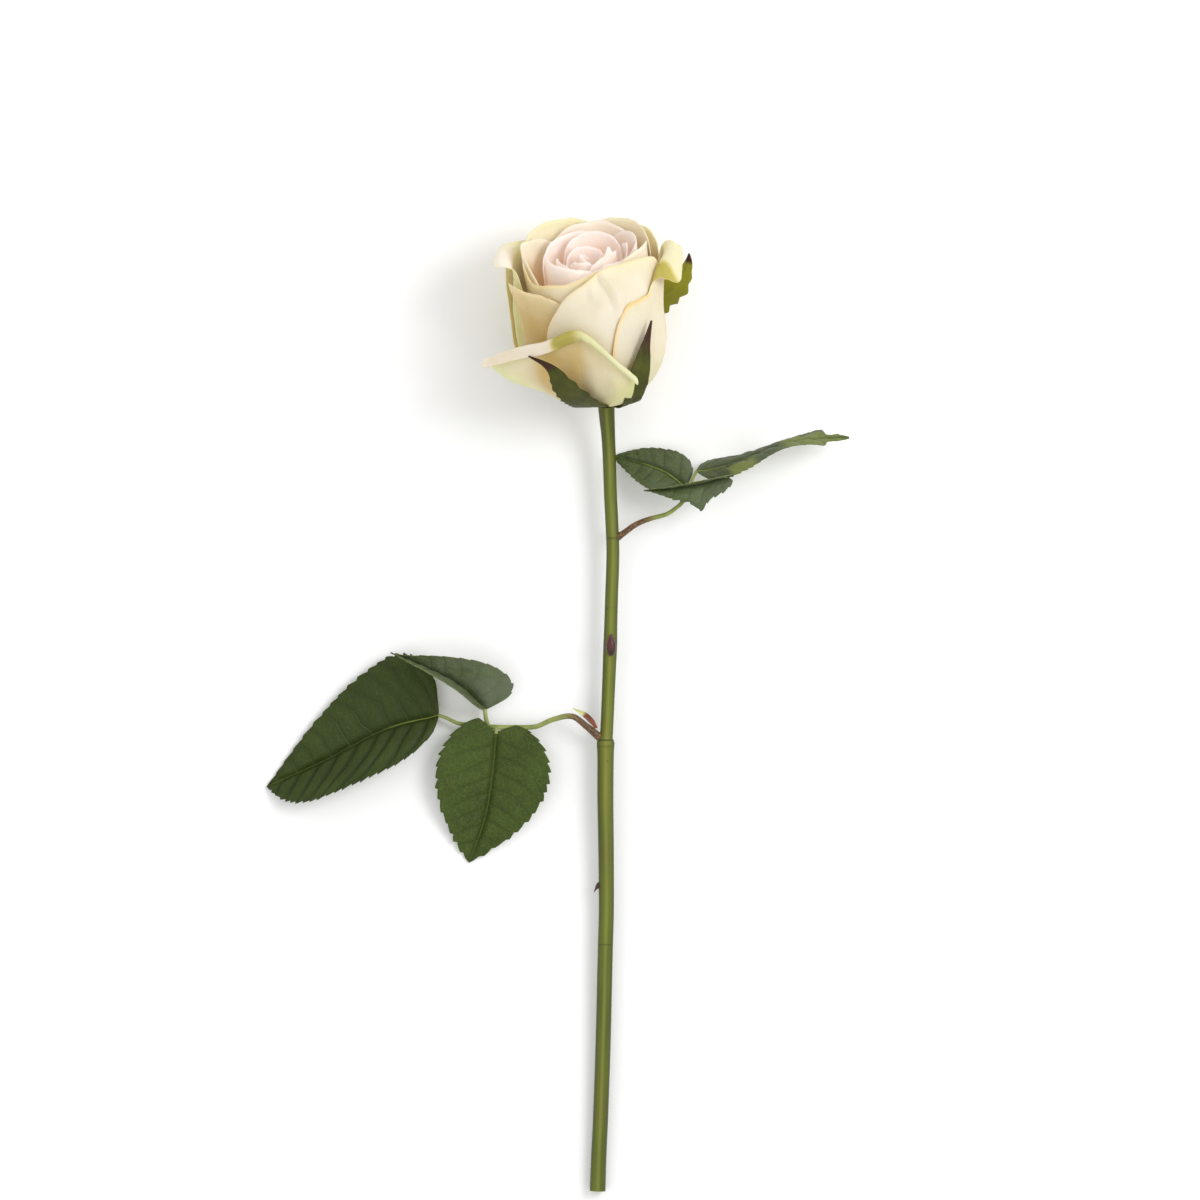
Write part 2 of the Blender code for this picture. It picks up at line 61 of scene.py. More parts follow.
def plain_rim(tall):
    """Rim heights of a petal that is tallest in its middle and falls away to both sides."""
    return [(-1.0, tall - 26.0), (-0.86, tall - 10.0), (-0.55, tall - 2.5), (0.0, tall),
            (0.55, tall - 2.5), (0.86, tall - 10.0), (1.0, tall - 26.0)]


# A petal has a layer radius, a centre angle and a half angle. Its lists give a value at places from
# -1, its left side, to 1, its right side: rim heights, flare of the whole petal or of its top, outward
# roll of the rim in degrees, flap past the roll, lift of its foot, how green its outside is, and how
# much painted tan shade lies on it. fold holds the four shades inside a rolled rim: pink, green, a painted
# warm glow and a painted tan shade. The edge value is a painted warm glow along the free edges. A crease
# runs from one (across, up) place to another and has a height and a width.
OUTER_PETALS = {
    "petal_01": dict(
        radius=32.6, turn=-32.5, half=53.5,
        rim=[(-1.0, 22.5), (-0.84, 27.0), (-0.47, 35.5), (0.06, 42.0), (0.36, 45.0), (0.6, 38.5),
             (0.82, 29.5), (1.0, 22.0)],
        flare=[(-1.0, 13.6), (-0.68, 11.0), (-0.25, 4.5), (0.17, 0.5), (0.6, 0.5), (0.8, 2.9), (1.0, 3.4)],
        roll=[(-1.0, 150.0), (-0.57, 165.0), (0.0, 172.0), (0.06, 205.0), (0.28, 200.0), (0.36, 210.0),
              (0.42, 280.0), (0.9, 300.0), (1.0, 260.0)],
        flap=[(-1.0, 1.4), (-0.79, 3.0), (-0.47, 3.6), (0.0, 3.4), (0.06, 3.4), (0.3, 2.8), (0.4, 0.3),
              (1.0, 0.2)],
        fold=[(-1.0, 0.1, 0.9, 0.0, 0.1), (-0.9, 0.3, 0.3, 0.0, 0.1), (-0.8, 0.3, 0.0, 0.0, 0.2),
              (-0.57, 0.3, 0.0, 0.0, 0.3), (0.0, 0.25, 0.05, 0.0, 0.25),
              (0.06, 0.0, 0.95, 0.3, 1.0), (0.26, 0.0, 0.9, 0.2, 1.0), (0.35, 0.0, 0.6, 0.0, 0.6),
              (0.4, 0.05, 0.6, 0.0, 0.3), (1.0, 0.15, 0.5, 0.0, 0.15)],
        outer_green=[(-1.0, 1.0), (-0.42, 0.95), (-0.3, 0.55), (-0.2, 0.12), (0.2, 0.2), (0.56, 0.35),
                     (0.8, 0.6), (1.0, 0.7)],
        tan_shade=[(-1.0, 0.0), (-0.42, 0.05), (-0.3, 0.35), (-0.18, 0.95), (0.0, 1.0), (0.3, 0.9), (0.42, 0.5),
             (0.56, 0.35), (1.0, 0.3)],
        lift=[(-1.0, 10.0), (-0.57, 7.5), (-0.25, 3.0), (0.06, 0.0), (1.0, 0.0)],
        roll_radius=1.7, green=0.75,
        creases=[(-0.95, 0.75, -0.31, 0.15, 1.1, 0.05), (-0.73, 0.72, -0.17, 0.22, -0.9, 0.05),
                 (-0.2, 0.8, 0.06, 0.3, 0.6, 0.09), (0.38, 0.75, 0.22, 0.35, -0.5, 0.08),
                 (0.5, 0.6, 0.3, 0.15, 0.4, 0.06)],
    ),
    "petal_02": dict(
        radius=30.6, turn=63.0, half=55.0,
        rim=[(-1.0, 29.0), (-0.95, 35.0), (-0.88, 42.0), (-0.78, 46.5), (-0.6, 49.6), (-0.4, 50.2),
             (-0.2, 51.0), (-0.05, 56.0), (0.1, 60.0), (0.5, 61.5), (0.8, 60.0), (1.0, 46.0)],
        roll=[(-1.0, 0.0), (-0.25, 5.0), (-0.1, 45.0), (0.02, 140.0), (0.2, 160.0), (0.6, 160.0),
              (0.85, 110.0), (1.0, 40.0)],
        flap=[(-1.0, 0.0), (-0.1, 0.4), (0.02, 4.6), (0.16, 8.4), (0.5, 8.6), (0.8, 4.5), (1.0, 0.5)],
        fold=[(-1.0, 0.0, 0.3, 0.0, 0.2), (0.04, 0.0, 1.0, 0.1, 1.0), (0.12, 0.0, 0.9, 0.1, 1.0),
              (0.17, 0.05, 0.35, 0.0, 0.25), (0.6, 0.1, 0.4, 0.0, 0.25),
              (1.0, 0.0, 0.3, 0.0, 0.3)],
        tan_shade=[(-1.0, 0.1), (-0.6, 0.1), (-0.3, 0.2), (0.1, 0.25), (0.6, 0.5), (1.0, 0.6)],
        edge_glow=1.0, roll_radius=2.6, green=0.15,
    ),
    "petal_03": dict(
        radius=32.0, turn=-155.0, half=54.0,
        rim=[(-1.0, 34.0), (-0.85, 50.0), (-0.5, 58.0), (0.0, 60.0), (0.6, 59.0),
             (0.88, 56.0), (1.0, 49.0)],
        flare=[(-1.0, 0.0), (0.3, 0.0), (0.75, 2.0), (1.0, 3.2)], low_narrow=0.95,
        tan_shade=[(-1.0, 0.3), (1.0, 0.5)],
        outer_green=[(-1.0, 0.3), (0.3, 0.4), (0.8, 0.95), (1.0, 1.0)], green_top=60.0, green=0.4,
    ),
    "petal_04": dict(radius=28.3, turn=135.0, half=58.0, rim=plain_rim(64.5), green=0.3),
    "petal_05": dict(
        radius=29.5, turn=20.0, half=66.0,
        rim=[(-1.0, 32.0), (-0.96, 40.0), (-0.83, 48.8), (-0.7, 55.3), (-0.53, 59.3), (-0.2, 63.8),
             (0.35, 64.8), (0.76, 62.8), (0.9, 56.0), (1.0, 42.0)], green=0.12, edge_glow=0.25,
        tan_shade=[(-1.0, 0.12), (-0.2, 0.0), (0.6, 0.05), (1.0, 0.5)],
        creases=[(-0.22, 0.97, -0.04, 0.82, -2.6, 0.04), (-0.34, 0.93, -0.16, 0.84, 1.3, 0.045),
                 (-0.02, 0.9, 0.02, 0.72, 0.9, 0.05)],
    ),
    "petal_06": dict(
        radius=28.3, turn=-44.0, half=42.0, low_narrow=0.45, narrow_to=0.95,
        rim=[(-1.0, 50.0), (-0.85, 57.0), (-0.22, 56.8), (0.09, 55.2), (0.35, 52.6), (0.65, 49.0),
             (1.0, 40.0)],
        flare=[(-1.0, 2.2), (-0.5, 2.0), (0.1, 0.0), (1.0, 0.0)],
        top_flare=[(-1.0, 3.0), (-0.5, 2.4), (0.1, 0.0), (1.0, 0.0)],
        tan_shade=[(-1.0, 0.9), (1.0, 1.0)], green=0.12, edge_glow=0.3,
    ),
    "petal_07": dict(
        radius=27.2, turn=-112.0, half=46.0,
        rim=[(-1.0, 40.0), (-0.8, 57.0), (-0.3, 64.0), (0.3, 63.5), (0.7, 60.0), (1.0, 44.0)],
        flare=[(-1.0, 0.5), (-0.5, 2.0), (-0.17, 4.2), (0.2, 5.6), (0.44, 5.6), (0.6, 3.0), (0.75, 1.2),
               (1.0, 0.5)],
        top_flare=[(-1.0, 0.0), (0.0, -1.5), (0.44, -2.2), (0.7, 1.0), (1.0, 1.5)],
        outer_green=[(-1.0, 0.5), (1.0, 0.95)], green_top=60.0, tan_shade=[(-1.0, 0.3), (1.0, 0.4)],
        roll=[(-1.0, 0.0), (-0.4, 40.0), (0.1, 130.0), (0.45, 135.0), (0.65, 20.0), (1.0, 0.0)],
        fold=[(-1.0, 0.0, 0.5, 0.0, 0.1), (-0.2, 0.1, 0.35, 0.0, 0.1), (0.1, 0.4, 0.05, 0.0, 0.0),
              (0.5, 0.5, 0.1, 0.0, 0.0),
              (1.0, 0.0, 0.4, 0.0, 0.1)],
        roll_radius=4.0, green=0.6,
    ),
    "petal_08": dict(
        radius=26.1, turn=-152.0, half=48.0,
        rim=[(-1.0, 44.0), (-0.86, 58.0), (-0.6, 65.0), (-0.1, 68.0), (0.2, 69.0), (0.65, 67.0),
             (0.86, 60.0), (1.0, 46.0)],
        top_flare=[(-1.0, 0.8), (-0.35, 0.8), (0.05, 0.0), (1.0, 0.0)], green=0.25,
    ),
    "petal_09": dict(
        radius=26.1, turn=-30.0, half=58.0,
        rim=[(-1.0, 63.0), (-0.85, 61.5), (-0.59, 58.2), (-0.14, 60.0), (0.24, 61.5),
             (0.71, 63.4), (0.9, 60.0), (1.0, 50.0)], green=0.3, edge_glow=0.6,
        tan_shade=[(-1.0, 0.5), (1.0, 0.4)],
    ),
    "petal_10": dict(radius=25.0, turn=140.0, half=52.0, rim=plain_rim(67.5), green=0.15),
    "petal_11": dict(
        radius=23.8, turn=-108.0, half=56.0,
        rim=[(-1.0, 46.0), (-0.8, 58.0), (-0.55, 63.5), (-0.18, 67.0), (0.12, 68.5), (0.3, 65.5),
             (0.57, 61.0), (0.8, 56.0), (1.0, 46.0)],
        top_flare=[(-1.0, 0.0), (-0.1, 0.3), (0.18, 2.4), (0.4, 0.8), (0.6, 0.0), (1.0, 0.0)], green=0.1,
    ),
    "petal_12": dict(radius=23.8, turn=74.0, half=50.0, rim=plain_rim(66.0), green=0.2),
}

# Inner petals: layer radius, centre angle, half angle, rim heights
INNER_PETALS = {
    "petal_13": (22.4, 172.0, 58.0, plain_rim(66.5)),
    "petal_14": (21.4, 22.0, 62.0, [(-1.0, 48.0), (-0.85, 58.0), (-0.4, 61.8), (0.2, 62.8), (0.7, 63.5),
                                    (0.88, 66.0), (0.95, 61.0), (1.0, 52.0)]),
    "petal_15": (19.9, 105.0, 60.0, plain_rim(66.5)),
    "petal_16": (18.8, -146.0, 64.0, [(-1.0, 57.0), (-0.87, 62.6), (-0.62, 63.8), (-0.36, 64.8),
                                      (-0.1, 64.4), (0.22, 63.8), (0.39, 61.8), (0.7, 57.0), (1.0, 44.0)]),
    "petal_17": (17.4, -42.0, 60.0, [(-1.0, 52.0), (-0.86, 61.5), (-0.72, 65.4), (-0.33, 65.0), (0.07, 64.2),
                                     (0.42, 62.8), (0.8, 60.0), (1.0, 48.0)]),
    "petal_18": (16.0, 80.0, 64.0, [(-1.0, 50.0), (-0.86, 60.5), (-0.4, 61.2), (-0.1, 61.5), (0.06, 63.0),
                                    (0.16, 66.5), (0.26, 63.5), (0.7, 61.0), (1.0, 46.0)]),
    "petal_19": (14.4, 166.0, 66.0, plain_rim(66.0)),
    "petal_20": (12.8, -62.0, 70.0, [(-1.0, 48.0), (-0.8, 58.5), (-0.4, 62.0), (0.0, 63.2), (0.3, 62.0),
                                     (0.8, 59.0), (1.0, 48.0)]),
    "petal_21": (11.2, 60.0, 72.0, [(-1.0, 50.0), (-0.9, 59.0), (-0.5, 62.5), (-0.18, 64.0), (0.02, 68.0),
                                    (0.12, 65.0), (0.5, 62.0), (1.0, 50.0)]),
    "petal_22": (9.4, -165.0, 80.0, plain_rim(62.5)),
    "petal_23": (7.4, -30.0, 85.0, plain_rim(62.5)),
    "petal_24": (5.4, 110.0, 95.0, plain_rim(63.0)),
    "petal_25": (3.2, -90.0, 150.0, plain_rim(63.0)),
}

# Sepals: path gives the angle round the flower at each height, wide the half width and widths its share
# from base to tip. away is how far the tip stands off, light how yellow the face is, and brown the share
# of the length where the tip's brown starts.
SEPAL_WIDTHS = [(0.0, 0.4), (0.2, 0.8), (0.45, 1.0), (0.7, 0.62), (1.0, 0.05)]
SEPALS = {
    "sepal_1": dict(path=[(-1.0, 150.0), (20.0, 142.0), (30.0, 128.0), (38.0, 114.0), (52.0, 108.0)],
                    widths=[(0.0, 0.4), (0.4, 0.7), (0.64, 1.0), (0.8, 0.82), (0.92, 0.4), (1.0, 0.04)],
                    height=52.0, wide=4.7, radius=33.4, away=10.0, away_from=27.0, twist=50.0,
                    teeth=1.5, light=1.0, brown=0.88),
    "sepal_2": dict(path=[(-1.0, 30.0), (5.0, 25.0), (11.0, 23.5), (18.0, 24.5), (25.0, 28.5),
                          (33.0, 33.5), (43.5, 43.0)],
                    widths=[(0.0, 0.6), (0.2, 0.75), (0.42, 0.85), (0.6, 1.0), (0.8, 0.58), (1.0, 0.04)],
                    height=41.8, wide=5.0, radius=33.6, teeth=0.15, light=0.0, brown=0.66),
    "sepal_3": dict(path=[(-1.0, -12.0), (12.0, -17.0), (24.0, -24.0), (30.5, -28.5), (33.5, -35.0),
                          (35.0, -44.0)],
                    widths=[(0.0, 0.45), (0.35, 0.95), (0.6, 1.0), (0.78, 0.74), (0.9, 0.44), (1.0, 0.04)],
                    height=35.0, wide=6.2, radius=38.8, start=1.6, away=3.0, away_from=1.0, twist=6.0,
                    teeth=1.0, light=0.0, brown=0.85),
    "sepal_4": dict(path=[(-1.0, 178.0), (40.0, 178.0)], height=40.0, wide=5.0, radius=33.0,
                    teeth=0.5, light=0.2, brown=0.6),
    "sepal_5": dict(path=[(-1.0, -116.0), (44.0, -116.0)], height=44.0, wide=5.0, radius=35.5,
                    teeth=0.5, light=0.2, brown=0.6),
}

# Tubes: stations of (x, y, z, radius) along each
STEM = [
    (-3.4, -202.8, 3.05, 2.97), (-2.9, -188.0, 3.4, 2.90), (-2.2, -173.0, 3.8, 2.87),
    (-1.1, -140.6, 4.6, 2.87), (-0.2, -101.7, 5.6, 2.87), (0.2, -86.9, 6.0, 2.87),
    (0.1, -63.5, 6.6, 2.95), (-0.2, -39.8, 7.3, 3.07), (-0.1, -22.0, 7.7, 3.15),
    (-0.1, -18.2, 7.8, 3.38), (0.0, -17.0, 7.85, 3.30), (0.0, -16.3, 7.9, 2.65),
    (0.3, -13.5, 8.0, 2.46), (1.2, 7.4, 8.5, 2.50), (1.8, 22.5, 8.9, 2.62),
    (2.0, 30.0, 9.1, 2.50), (2.3, 41.0, 9.4, 2.46), (2.9, 60.7, 9.9, 2.46),
    (2.5, 72.0, 10.2, 2.46), (1.9, 84.0, 10.6, 2.46), (1.5, 97.0, 11.6, 2.50),
    (1.0, 107.8, 13.2, 2.60), (0.5, 115.0, 16.1, 2.90), (0.15, 120.9, 18.7, 3.15),
]
# Rings round the stem: place along y, half width, strength
STEM_RINGS = [(-16.7, 0.45, 0.85), (38.0, 0.3, 0.22), (-101.0, 0.5, 0.45), (66.4, 0.7, 0.5),
              (-19.2, 0.6, 0.3)]
LEFT_STALK = [
    (-2.3, -15.8, 8.0, 1.35), (-4.6, -13.9, 8.8, 1.15), (-8.0, -11.0, 9.6, 1.0), (-13.9, -6.9, 10.4, 0.9),
    (-21.7, -8.2, 9.5, 0.8), (-28.7, -11.1, 8.0, 0.75), (-36.5, -11.5, 6.5, 0.75),
    (-46.7, -11.3, 5.0, 0.7), (-53.0, -10.6, 4.4, 0.65), (-60.7, -9.9, 4.4, 0.6),
    (-66.0, -7.6, 4.8, 0.55), (-69.3, -6.4, 5.0, 0.5),
]
LEFT_TWIGS = [
    [(-48.6, -11.2, 4.8, 0.78), (-49.4, -8.0, 4.8, 0.65), (-50.0, -4.0, 5.0, 0.65)],
    [(-45.5, -11.3, 5.2, 0.65), (-45.2, -12.3, 5.5, 0.65), (-45.2, -14.2, 5.9, 0.65)],
]
RIGHT_STALK = [
    (4.6, 66.6, 10.2, 1.3), (7.6, 68.7, 10.6, 1.05), (12.3, 72.0, 11.2, 0.95), (17.6, 74.2, 11.6, 0.85),
    (25.0, 76.3, 12.1, 0.75), (28.7, 78.7, 12.4, 0.7), (31.6, 81.4, 12.7, 0.7),
    (34.0, 86.0, 13.0, 0.65), (35.6, 90.4, 13.3, 0.55), (37.3, 94.0, 13.4, 0.5),
]
RIGHT_TWIGS = [
    [(34.4, 86.2, 13.0, 0.55), (33.7, 87.0, 13.0, 0.5), (32.8, 88.0, 12.8, 0.5)],
    [(34.2, 86.6, 13.1, 0.55), (41.0, 88.8, 15.2, 0.5), (49.9, 91.6, 18.5, 0.5)],
]

BUD = [(2.2, 18.2, 12.1, 0.9), (2.15, 19.4, 12.2, 1.6), (2.05, 21.4, 12.3, 2.0), (2.05, 23.4, 12.4, 1.9),
       (2.05, 25.0, 12.6, 1.35), (2.1, 26.3, 12.9, 0.65), (2.2, 27.1, 13.1, 0.12)]
THORN = [(-2.5, -76.7, 6.3, 1.7), (-3.2, -77.0, 6.3, 1.25), (-3.6, -77.3, 6.3, 0.9), (-3.9, -77.7, 6.3, 0.6),
         (-4.4, -78.5, 6.3, 0.32), (-5.0, -79.5, 6.2, 0.06)]
# The seat under the petals: (radius, height) along the flower's axis
SEAT = [(0.6, -4.7), (2.6, -4.6), (3.6, -4.0), (4.6, -2.6), (5.1, -1.4), (6.4, 0.4), (5.2, 5.0), (3.6, 10.0),
        (1.6, 15.0), (0.3, 18.0)]
STIPULE_EDGES = [
    [(-4.6, -12.0, 9.9), (-6.6, -9.6, 10.9), (-9.4, -7.0, 11.7), (-11.6, -5.2, 12.2), (-13.7, -3.6, 12.5)],
    [(-3.5, -11.6, 10.7), (-5.0, -8.3, 11.6), (-7.9, -5.6, 12.3), (-10.9, -4.3, 12.5), (-13.5, -3.5, 12.6)],
]

# Leaflets: rib is the midrib from base to tip, one and two the reach of its halves at base, middle and
# tip. back sweeps the base's corners backward, veins is the space between side veins, bite a tooth's
# size, and the grey, dark, bright and relief values say how the face looks: the grey is a painted sheen
# and the dark a painted shade in the hollows by the veins. lean slants each half's side veins.
LEAF_WIDTHS = [(0.0, 0.05), (0.04, 0.46), (0.14, 0.8), (0.28, 0.97), (0.4, 1.0), (0.58, 0.87),
               (0.75, 0.60), (0.88, 0.31), (1.0, 0.0)]
LEAFLETS = {
    "left_leaflet_end": dict(
        rib=[(-69.0, -6.6, 5.0), (-90.2, -11.9, 3.4), (-116.0, -25.0, 2.4), (-140.0, -36.1, 0.7)],
        one=[(2.9, 30.1, 0.5), (2.9, 30.1, 0.8), (2.9, 30.1, 1.5)],
        two=[(-9.3, -20.6, 10.0), (-9.3, -21.2, 12.0), (-12.5, -27.0, 8.0)],
        back=(0.0, 3.0), teeth=21, bite=1.6, length=77.0, veins=8.0, dark=1.05, bright=0.42, relief=1.9,
        lean=(0.45, 0.0),
    ),
    "left_leaflet_front": dict(
        rib=[(-45.2, -13.8, 6.0), (-46.8, -31.0, 4.2), (-50.0, -49.4, 2.4), (-56.5, -67.4, 0.7)],
        one=[(-22.8, 2.0, 3.0), (-22.8, 2.0, 4.0), (-22.0, 0.0, 2.0)],
        two=[(23.3, 0.0, 3.0), (23.3, -1.0, 4.0), (22.0, -4.0, 2.0)],
        back=(7.5, 5.0), teeth=14, bite=1.7, length=55.0, veins=6.5, dark=0.2, bright=0.0, relief=1.0,
    ),
    "left_leaflet_back": dict(
        rib=[(-50.0, -4.3, 5.0), (-60.5, 6.2, 10.0), (-74.0, 13.4, 11.5), (-88.6, 19.3, 10.0)],
        one=[(24.0, 8.0, 1.0), (9.0, 7.2, 2.0), (-3.0, 3.0, 4.0)],
        two=[(-1.5, -1.5, 11.0), (-1.5, -1.8, 13.0), (1.0, -3.0, 10.0)],
        teeth=13, bite=0.7, length=47.0, veins=6.0, sheen_grey=0.42,
    ),
    "right_leaflet_end": dict(
        rib=[(37.2, 93.8, 13.4), (56.0, 99.2, 14.0), (77.0, 106.0, 14.5), (100.0, 107.8, 13.0)],
        one=[(-1.0, 5.4, -10.5), (-2.0, 0.9, -12.5), (0.0, 6.2, -9.0)],
        two=[(6.0, -8.5, 3.0), (1.5, -2.4, 11.0), (0.0, -3.6, 6.0)],
        widths=[(0.0, 0.05), (0.04, 0.46), (0.14, 0.8), (0.28, 0.97), (0.4, 1.0), (0.58, 0.87), (0.76, 0.76),
                (0.85, 0.85), (0.868, 0.34), (0.93, 0.26), (1.0, 0.01)],
        turned=True, teeth=18, bite=1.0, length=66.0, veins=7.5, sheen_grey=0.3, dark=0.35, lean=(0.6, 0.6),
    ),
    "right_leaflet_inner": dict(
        rib=[(33.2, 87.5, 12.9), (24.0, 94.4, 10.6), (13.0, 98.4, 7.4), (2.5, 100.4, 5.0)],
        one=[(8.0, 10.0, -4.0), (3.0, 7.0, -5.0), (-1.0, 5.0, -4.0)],
        two=[(-7.0, -7.0, 5.0), (-4.0, -9.0, 6.0), (-2.0, -9.0, 4.0)],
        teeth=12, bite=0.7, length=34.0, veins=5.5, sheen_grey=0.34, bright=0.7,
    ),
    "right_leaflet_front": dict(
        rib=[(49.8, 91.6, 18.6), (38.8, 88.6, 20.5), (27.0, 86.7, 20.5), (15.6, 85.9, 18.0)],
        one=[(4.0, 1.6, 5.0), (1.0, 1.4, 5.0), (0.0, 0.8, 4.0)],
        two=[(4.0, -5.5, 2.0), (1.0, -7.0, 1.0), (0.0, -2.5, 2.0)],
        back=(2.0, 2.0), corner=(0.4, 0.06, 3.7), teeth=11, bite=1.0, length=32.0, veins=5.5, sheen_grey=0.33,
        bright=0.0,
    ),
}


# ---------------------------------------------------------------- shape helpers

def through(knots, x):
    """A smooth curve through (place, value) pairs, flat outside them."""
    places = [k[0] for k in knots]
    values = [k[1] for k in knots]
    if x <= places[0]:
        return values[0]
    if x >= places[-1]:
        return values[-1]
    last = len(knots) - 1
    i = max(j for j in range(last) if places[j] <= x)
    gap = places[i + 1] - places[i]
    before = max(i - 1, 0)
    after = min(i + 2, last)
    rise_a = (values[i + 1] - values[before]) / (places[i + 1] - places[before])
    rise_b = (values[after] - values[i]) / (places[after] - places[i])
    u = (x - places[i]) / gap
    start = (1 + 2 * u) * (1 - u) ** 2 * values[i] + u * (1 - u) ** 2 * gap * rise_a
    end = u * u * (3 - 2 * u) * values[i + 1] + u * u * (u - 1) * gap * rise_b
    return start + end


def ease(x):
    """0 below 0, 1 above 1, and a smooth step between."""
    x = min(max(x, 0.0), 1.0)
    return x * x * (3 - 2 * x)


def wander(seed, x, y=0.0):
    """Smooth noise from -1 to 1 that is the same on every run."""
    return noise.noise(Vector((x + 17.3 * seed, y - 9.1 * seed, 4.7 * seed)))


def bent(points, t):
    """The point at share t of a smooth line through evenly spaced points."""
    last = len(points) - 1
    return np.array([through([(i / last, p[axis]) for i, p in enumerate(points)], t) for axis in range(3)])


def in_head(radius, turn_deg, height):
    """A place given round the flower's own axis; turn 0 is its front and 90 its right."""
    turn = math.radians(turn_deg)
    across = HEAD_RIGHT * (radius * math.sin(turn)) + HEAD_FRONT * (radius * math.cos(turn))
    return HEAD_BASE + across + HEAD_UP * height


def angle_gap(a, b):
    """The smaller angle between two directions, in degrees."""
    return abs((a - b + 180.0) % 360.0 - 180.0)


def cup_side(foot_r, foot_h, radius):
    """Radii and heights of a quarter round from a foot out to the belly of the bloom."""
    lifts = np.radians(np.linspace(0.0, 90.0, 61))
    return foot_r + (radius - foot_r) * np.sin(lifts), foot_h + BELLY_HEIGHT * (1.0 - np.cos(lifts))


def run_along(r, h):
    """How far each point of a profile is from its first point, along the profile."""
    return np.concatenate([[0.0], np.cumsum(np.hypot(np.diff(r), np.diff(h)))])


def gathered(radius, turn_deg, height):
    """Petal tops lean in at the front right and out a little at the back."""
    high = ease((height - 42.0) / 25.0)
    front = math.exp(-((angle_gap(turn_deg, 24.0) / 42.0) ** 2))
    back = math.exp(-((angle_gap(turn_deg, 180.0) / 75.0) ** 2))
    right = math.exp(-((angle_gap(turn_deg, 92.0) / 38.0) ** 2))
    return radius * (1.0 + high * (0.12 * back - 0.33 * front) - 0.09 * right * ease((60.0 - height) / 25.0))


def sheet_mesh(name, grid, thickness, materials, uv, tone=None):
    """A closed thin body round a grid of points in millimetres. uv and tone hold one value per grid point;
    tone is (front, back), each with four numbers per point. Materials: front, back."""
    rows, cols, _ = grid.shape
    down = np.gradient(grid, axis=0)
    side = np.gradient(grid, axis=1)
    normal = np.cross(side, down)
    normal /= np.maximum(np.linalg.norm(normal, axis=2, keepdims=True), 1e-9)
    front = grid + normal * (thickness / 2)
    back = grid - normal * (thickness / 2)
    points = np.concatenate([front.reshape(-1, 3), back.reshape(-1, 3)])
    count = rows * cols
    index = np.arange(count).reshape(rows, cols)
    a = index[:-1, :-1].ravel()
    b = index[:-1, 1:].ravel()
    c = index[1:, 1:].ravel()
    d = index[1:, :-1].ravel()
    front_faces = np.stack([a, d, c, b], axis=1)
    back_faces = np.stack([a, b, c, d], axis=1) + count
    edge = list(index[0, :]) + list(index[1:, -1]) + list(index[-1, -2::-1]) + list(index[-2:0:-1, 0])
    edge = np.array(edge)
    after = np.roll(edge, -1)
    wall = np.stack([edge, after, after + count, edge + count], axis=1)
    faces = np.concatenate([front_faces, back_faces, wall])
    mesh = bpy.data.meshes.new(name)
    mesh.from_pydata([tuple(p) for p in (points + SHIFT) * MM], [], [tuple(int(i) for i in f) for f in faces])
    for material in materials:
        mesh.materials.append(material)
    which = np.zeros(len(faces), dtype=np.int32)
    which[len(front_faces):len(front_faces) + len(back_faces)] = len(materials) - 1
    mesh.polygons.foreach_set("material_index", which)
    mesh.polygons.foreach_set("use_smooth", np.ones(len(faces), dtype=bool))
    layer = mesh.uv_layers.new(name="UVMap")
    flat = np.concatenate([uv.reshape(-1, 2), uv.reshape(-1, 2)])
    layer.data.foreach_set("uv", flat[faces.ravel()].astype(np.float32).ravel())
    if tone is not None:
        colours = np.concatenate([tone[0].reshape(-1, 4), tone[1].reshape(-1, 4)]).astype(np.float32)
        mask = mesh.color_attributes.new(name="tone", type="FLOAT_COLOR", domain="POINT")
        mask.data.foreach_set("color", colours.ravel())
    mesh.validate()
    obj = bpy.data.objects.new(name, mesh)
    bpy.context.scene.collection.objects.link(obj)
    return face_out(obj)


def face_out(obj):
    """Turns a closed body's faces outward."""
    mesh = obj.data
    corners = np.empty(len(mesh.vertices) * 3)
    mesh.vertices.foreach_get("co", corners)
    corners = corners.reshape(-1, 3)
    mesh.calc_loop_triangles()
    tri = np.empty(len(mesh.loop_triangles) * 3, dtype=np.int32)
    mesh.loop_triangles.foreach_get("vertices", tri)
    tri = tri.reshape(-1, 3)
    a, b, c = corners[tri[:, 0]], corners[tri[:, 1]], corners[tri[:, 2]]
    if np.einsum("ij,ij->i", a, np.cross(b, c)).sum() < 0:
        mesh.flip_normals()
    return obj


# ---------------------------------------------------------------- materials

def new_group(name, inputs, outputs):
    """An empty shader group with named sockets; also gives the sockets to read and to fill."""
    group = bpy.data.node_groups.new(name, "ShaderNodeTree")
    for label, kind, default in inputs:
        socket = group.interface.new_socket(name=label, in_out="INPUT", socket_type=kind)
        socket.default_value = default
    for label, kind in outputs:
        group.interface.new_socket(name=label, in_out="OUTPUT", socket_type=kind)
    enter = group.nodes.new("NodeGroupInput")
    leave = group.nodes.new("NodeGroupOutput")
    return group, enter.outputs, leave.inputs


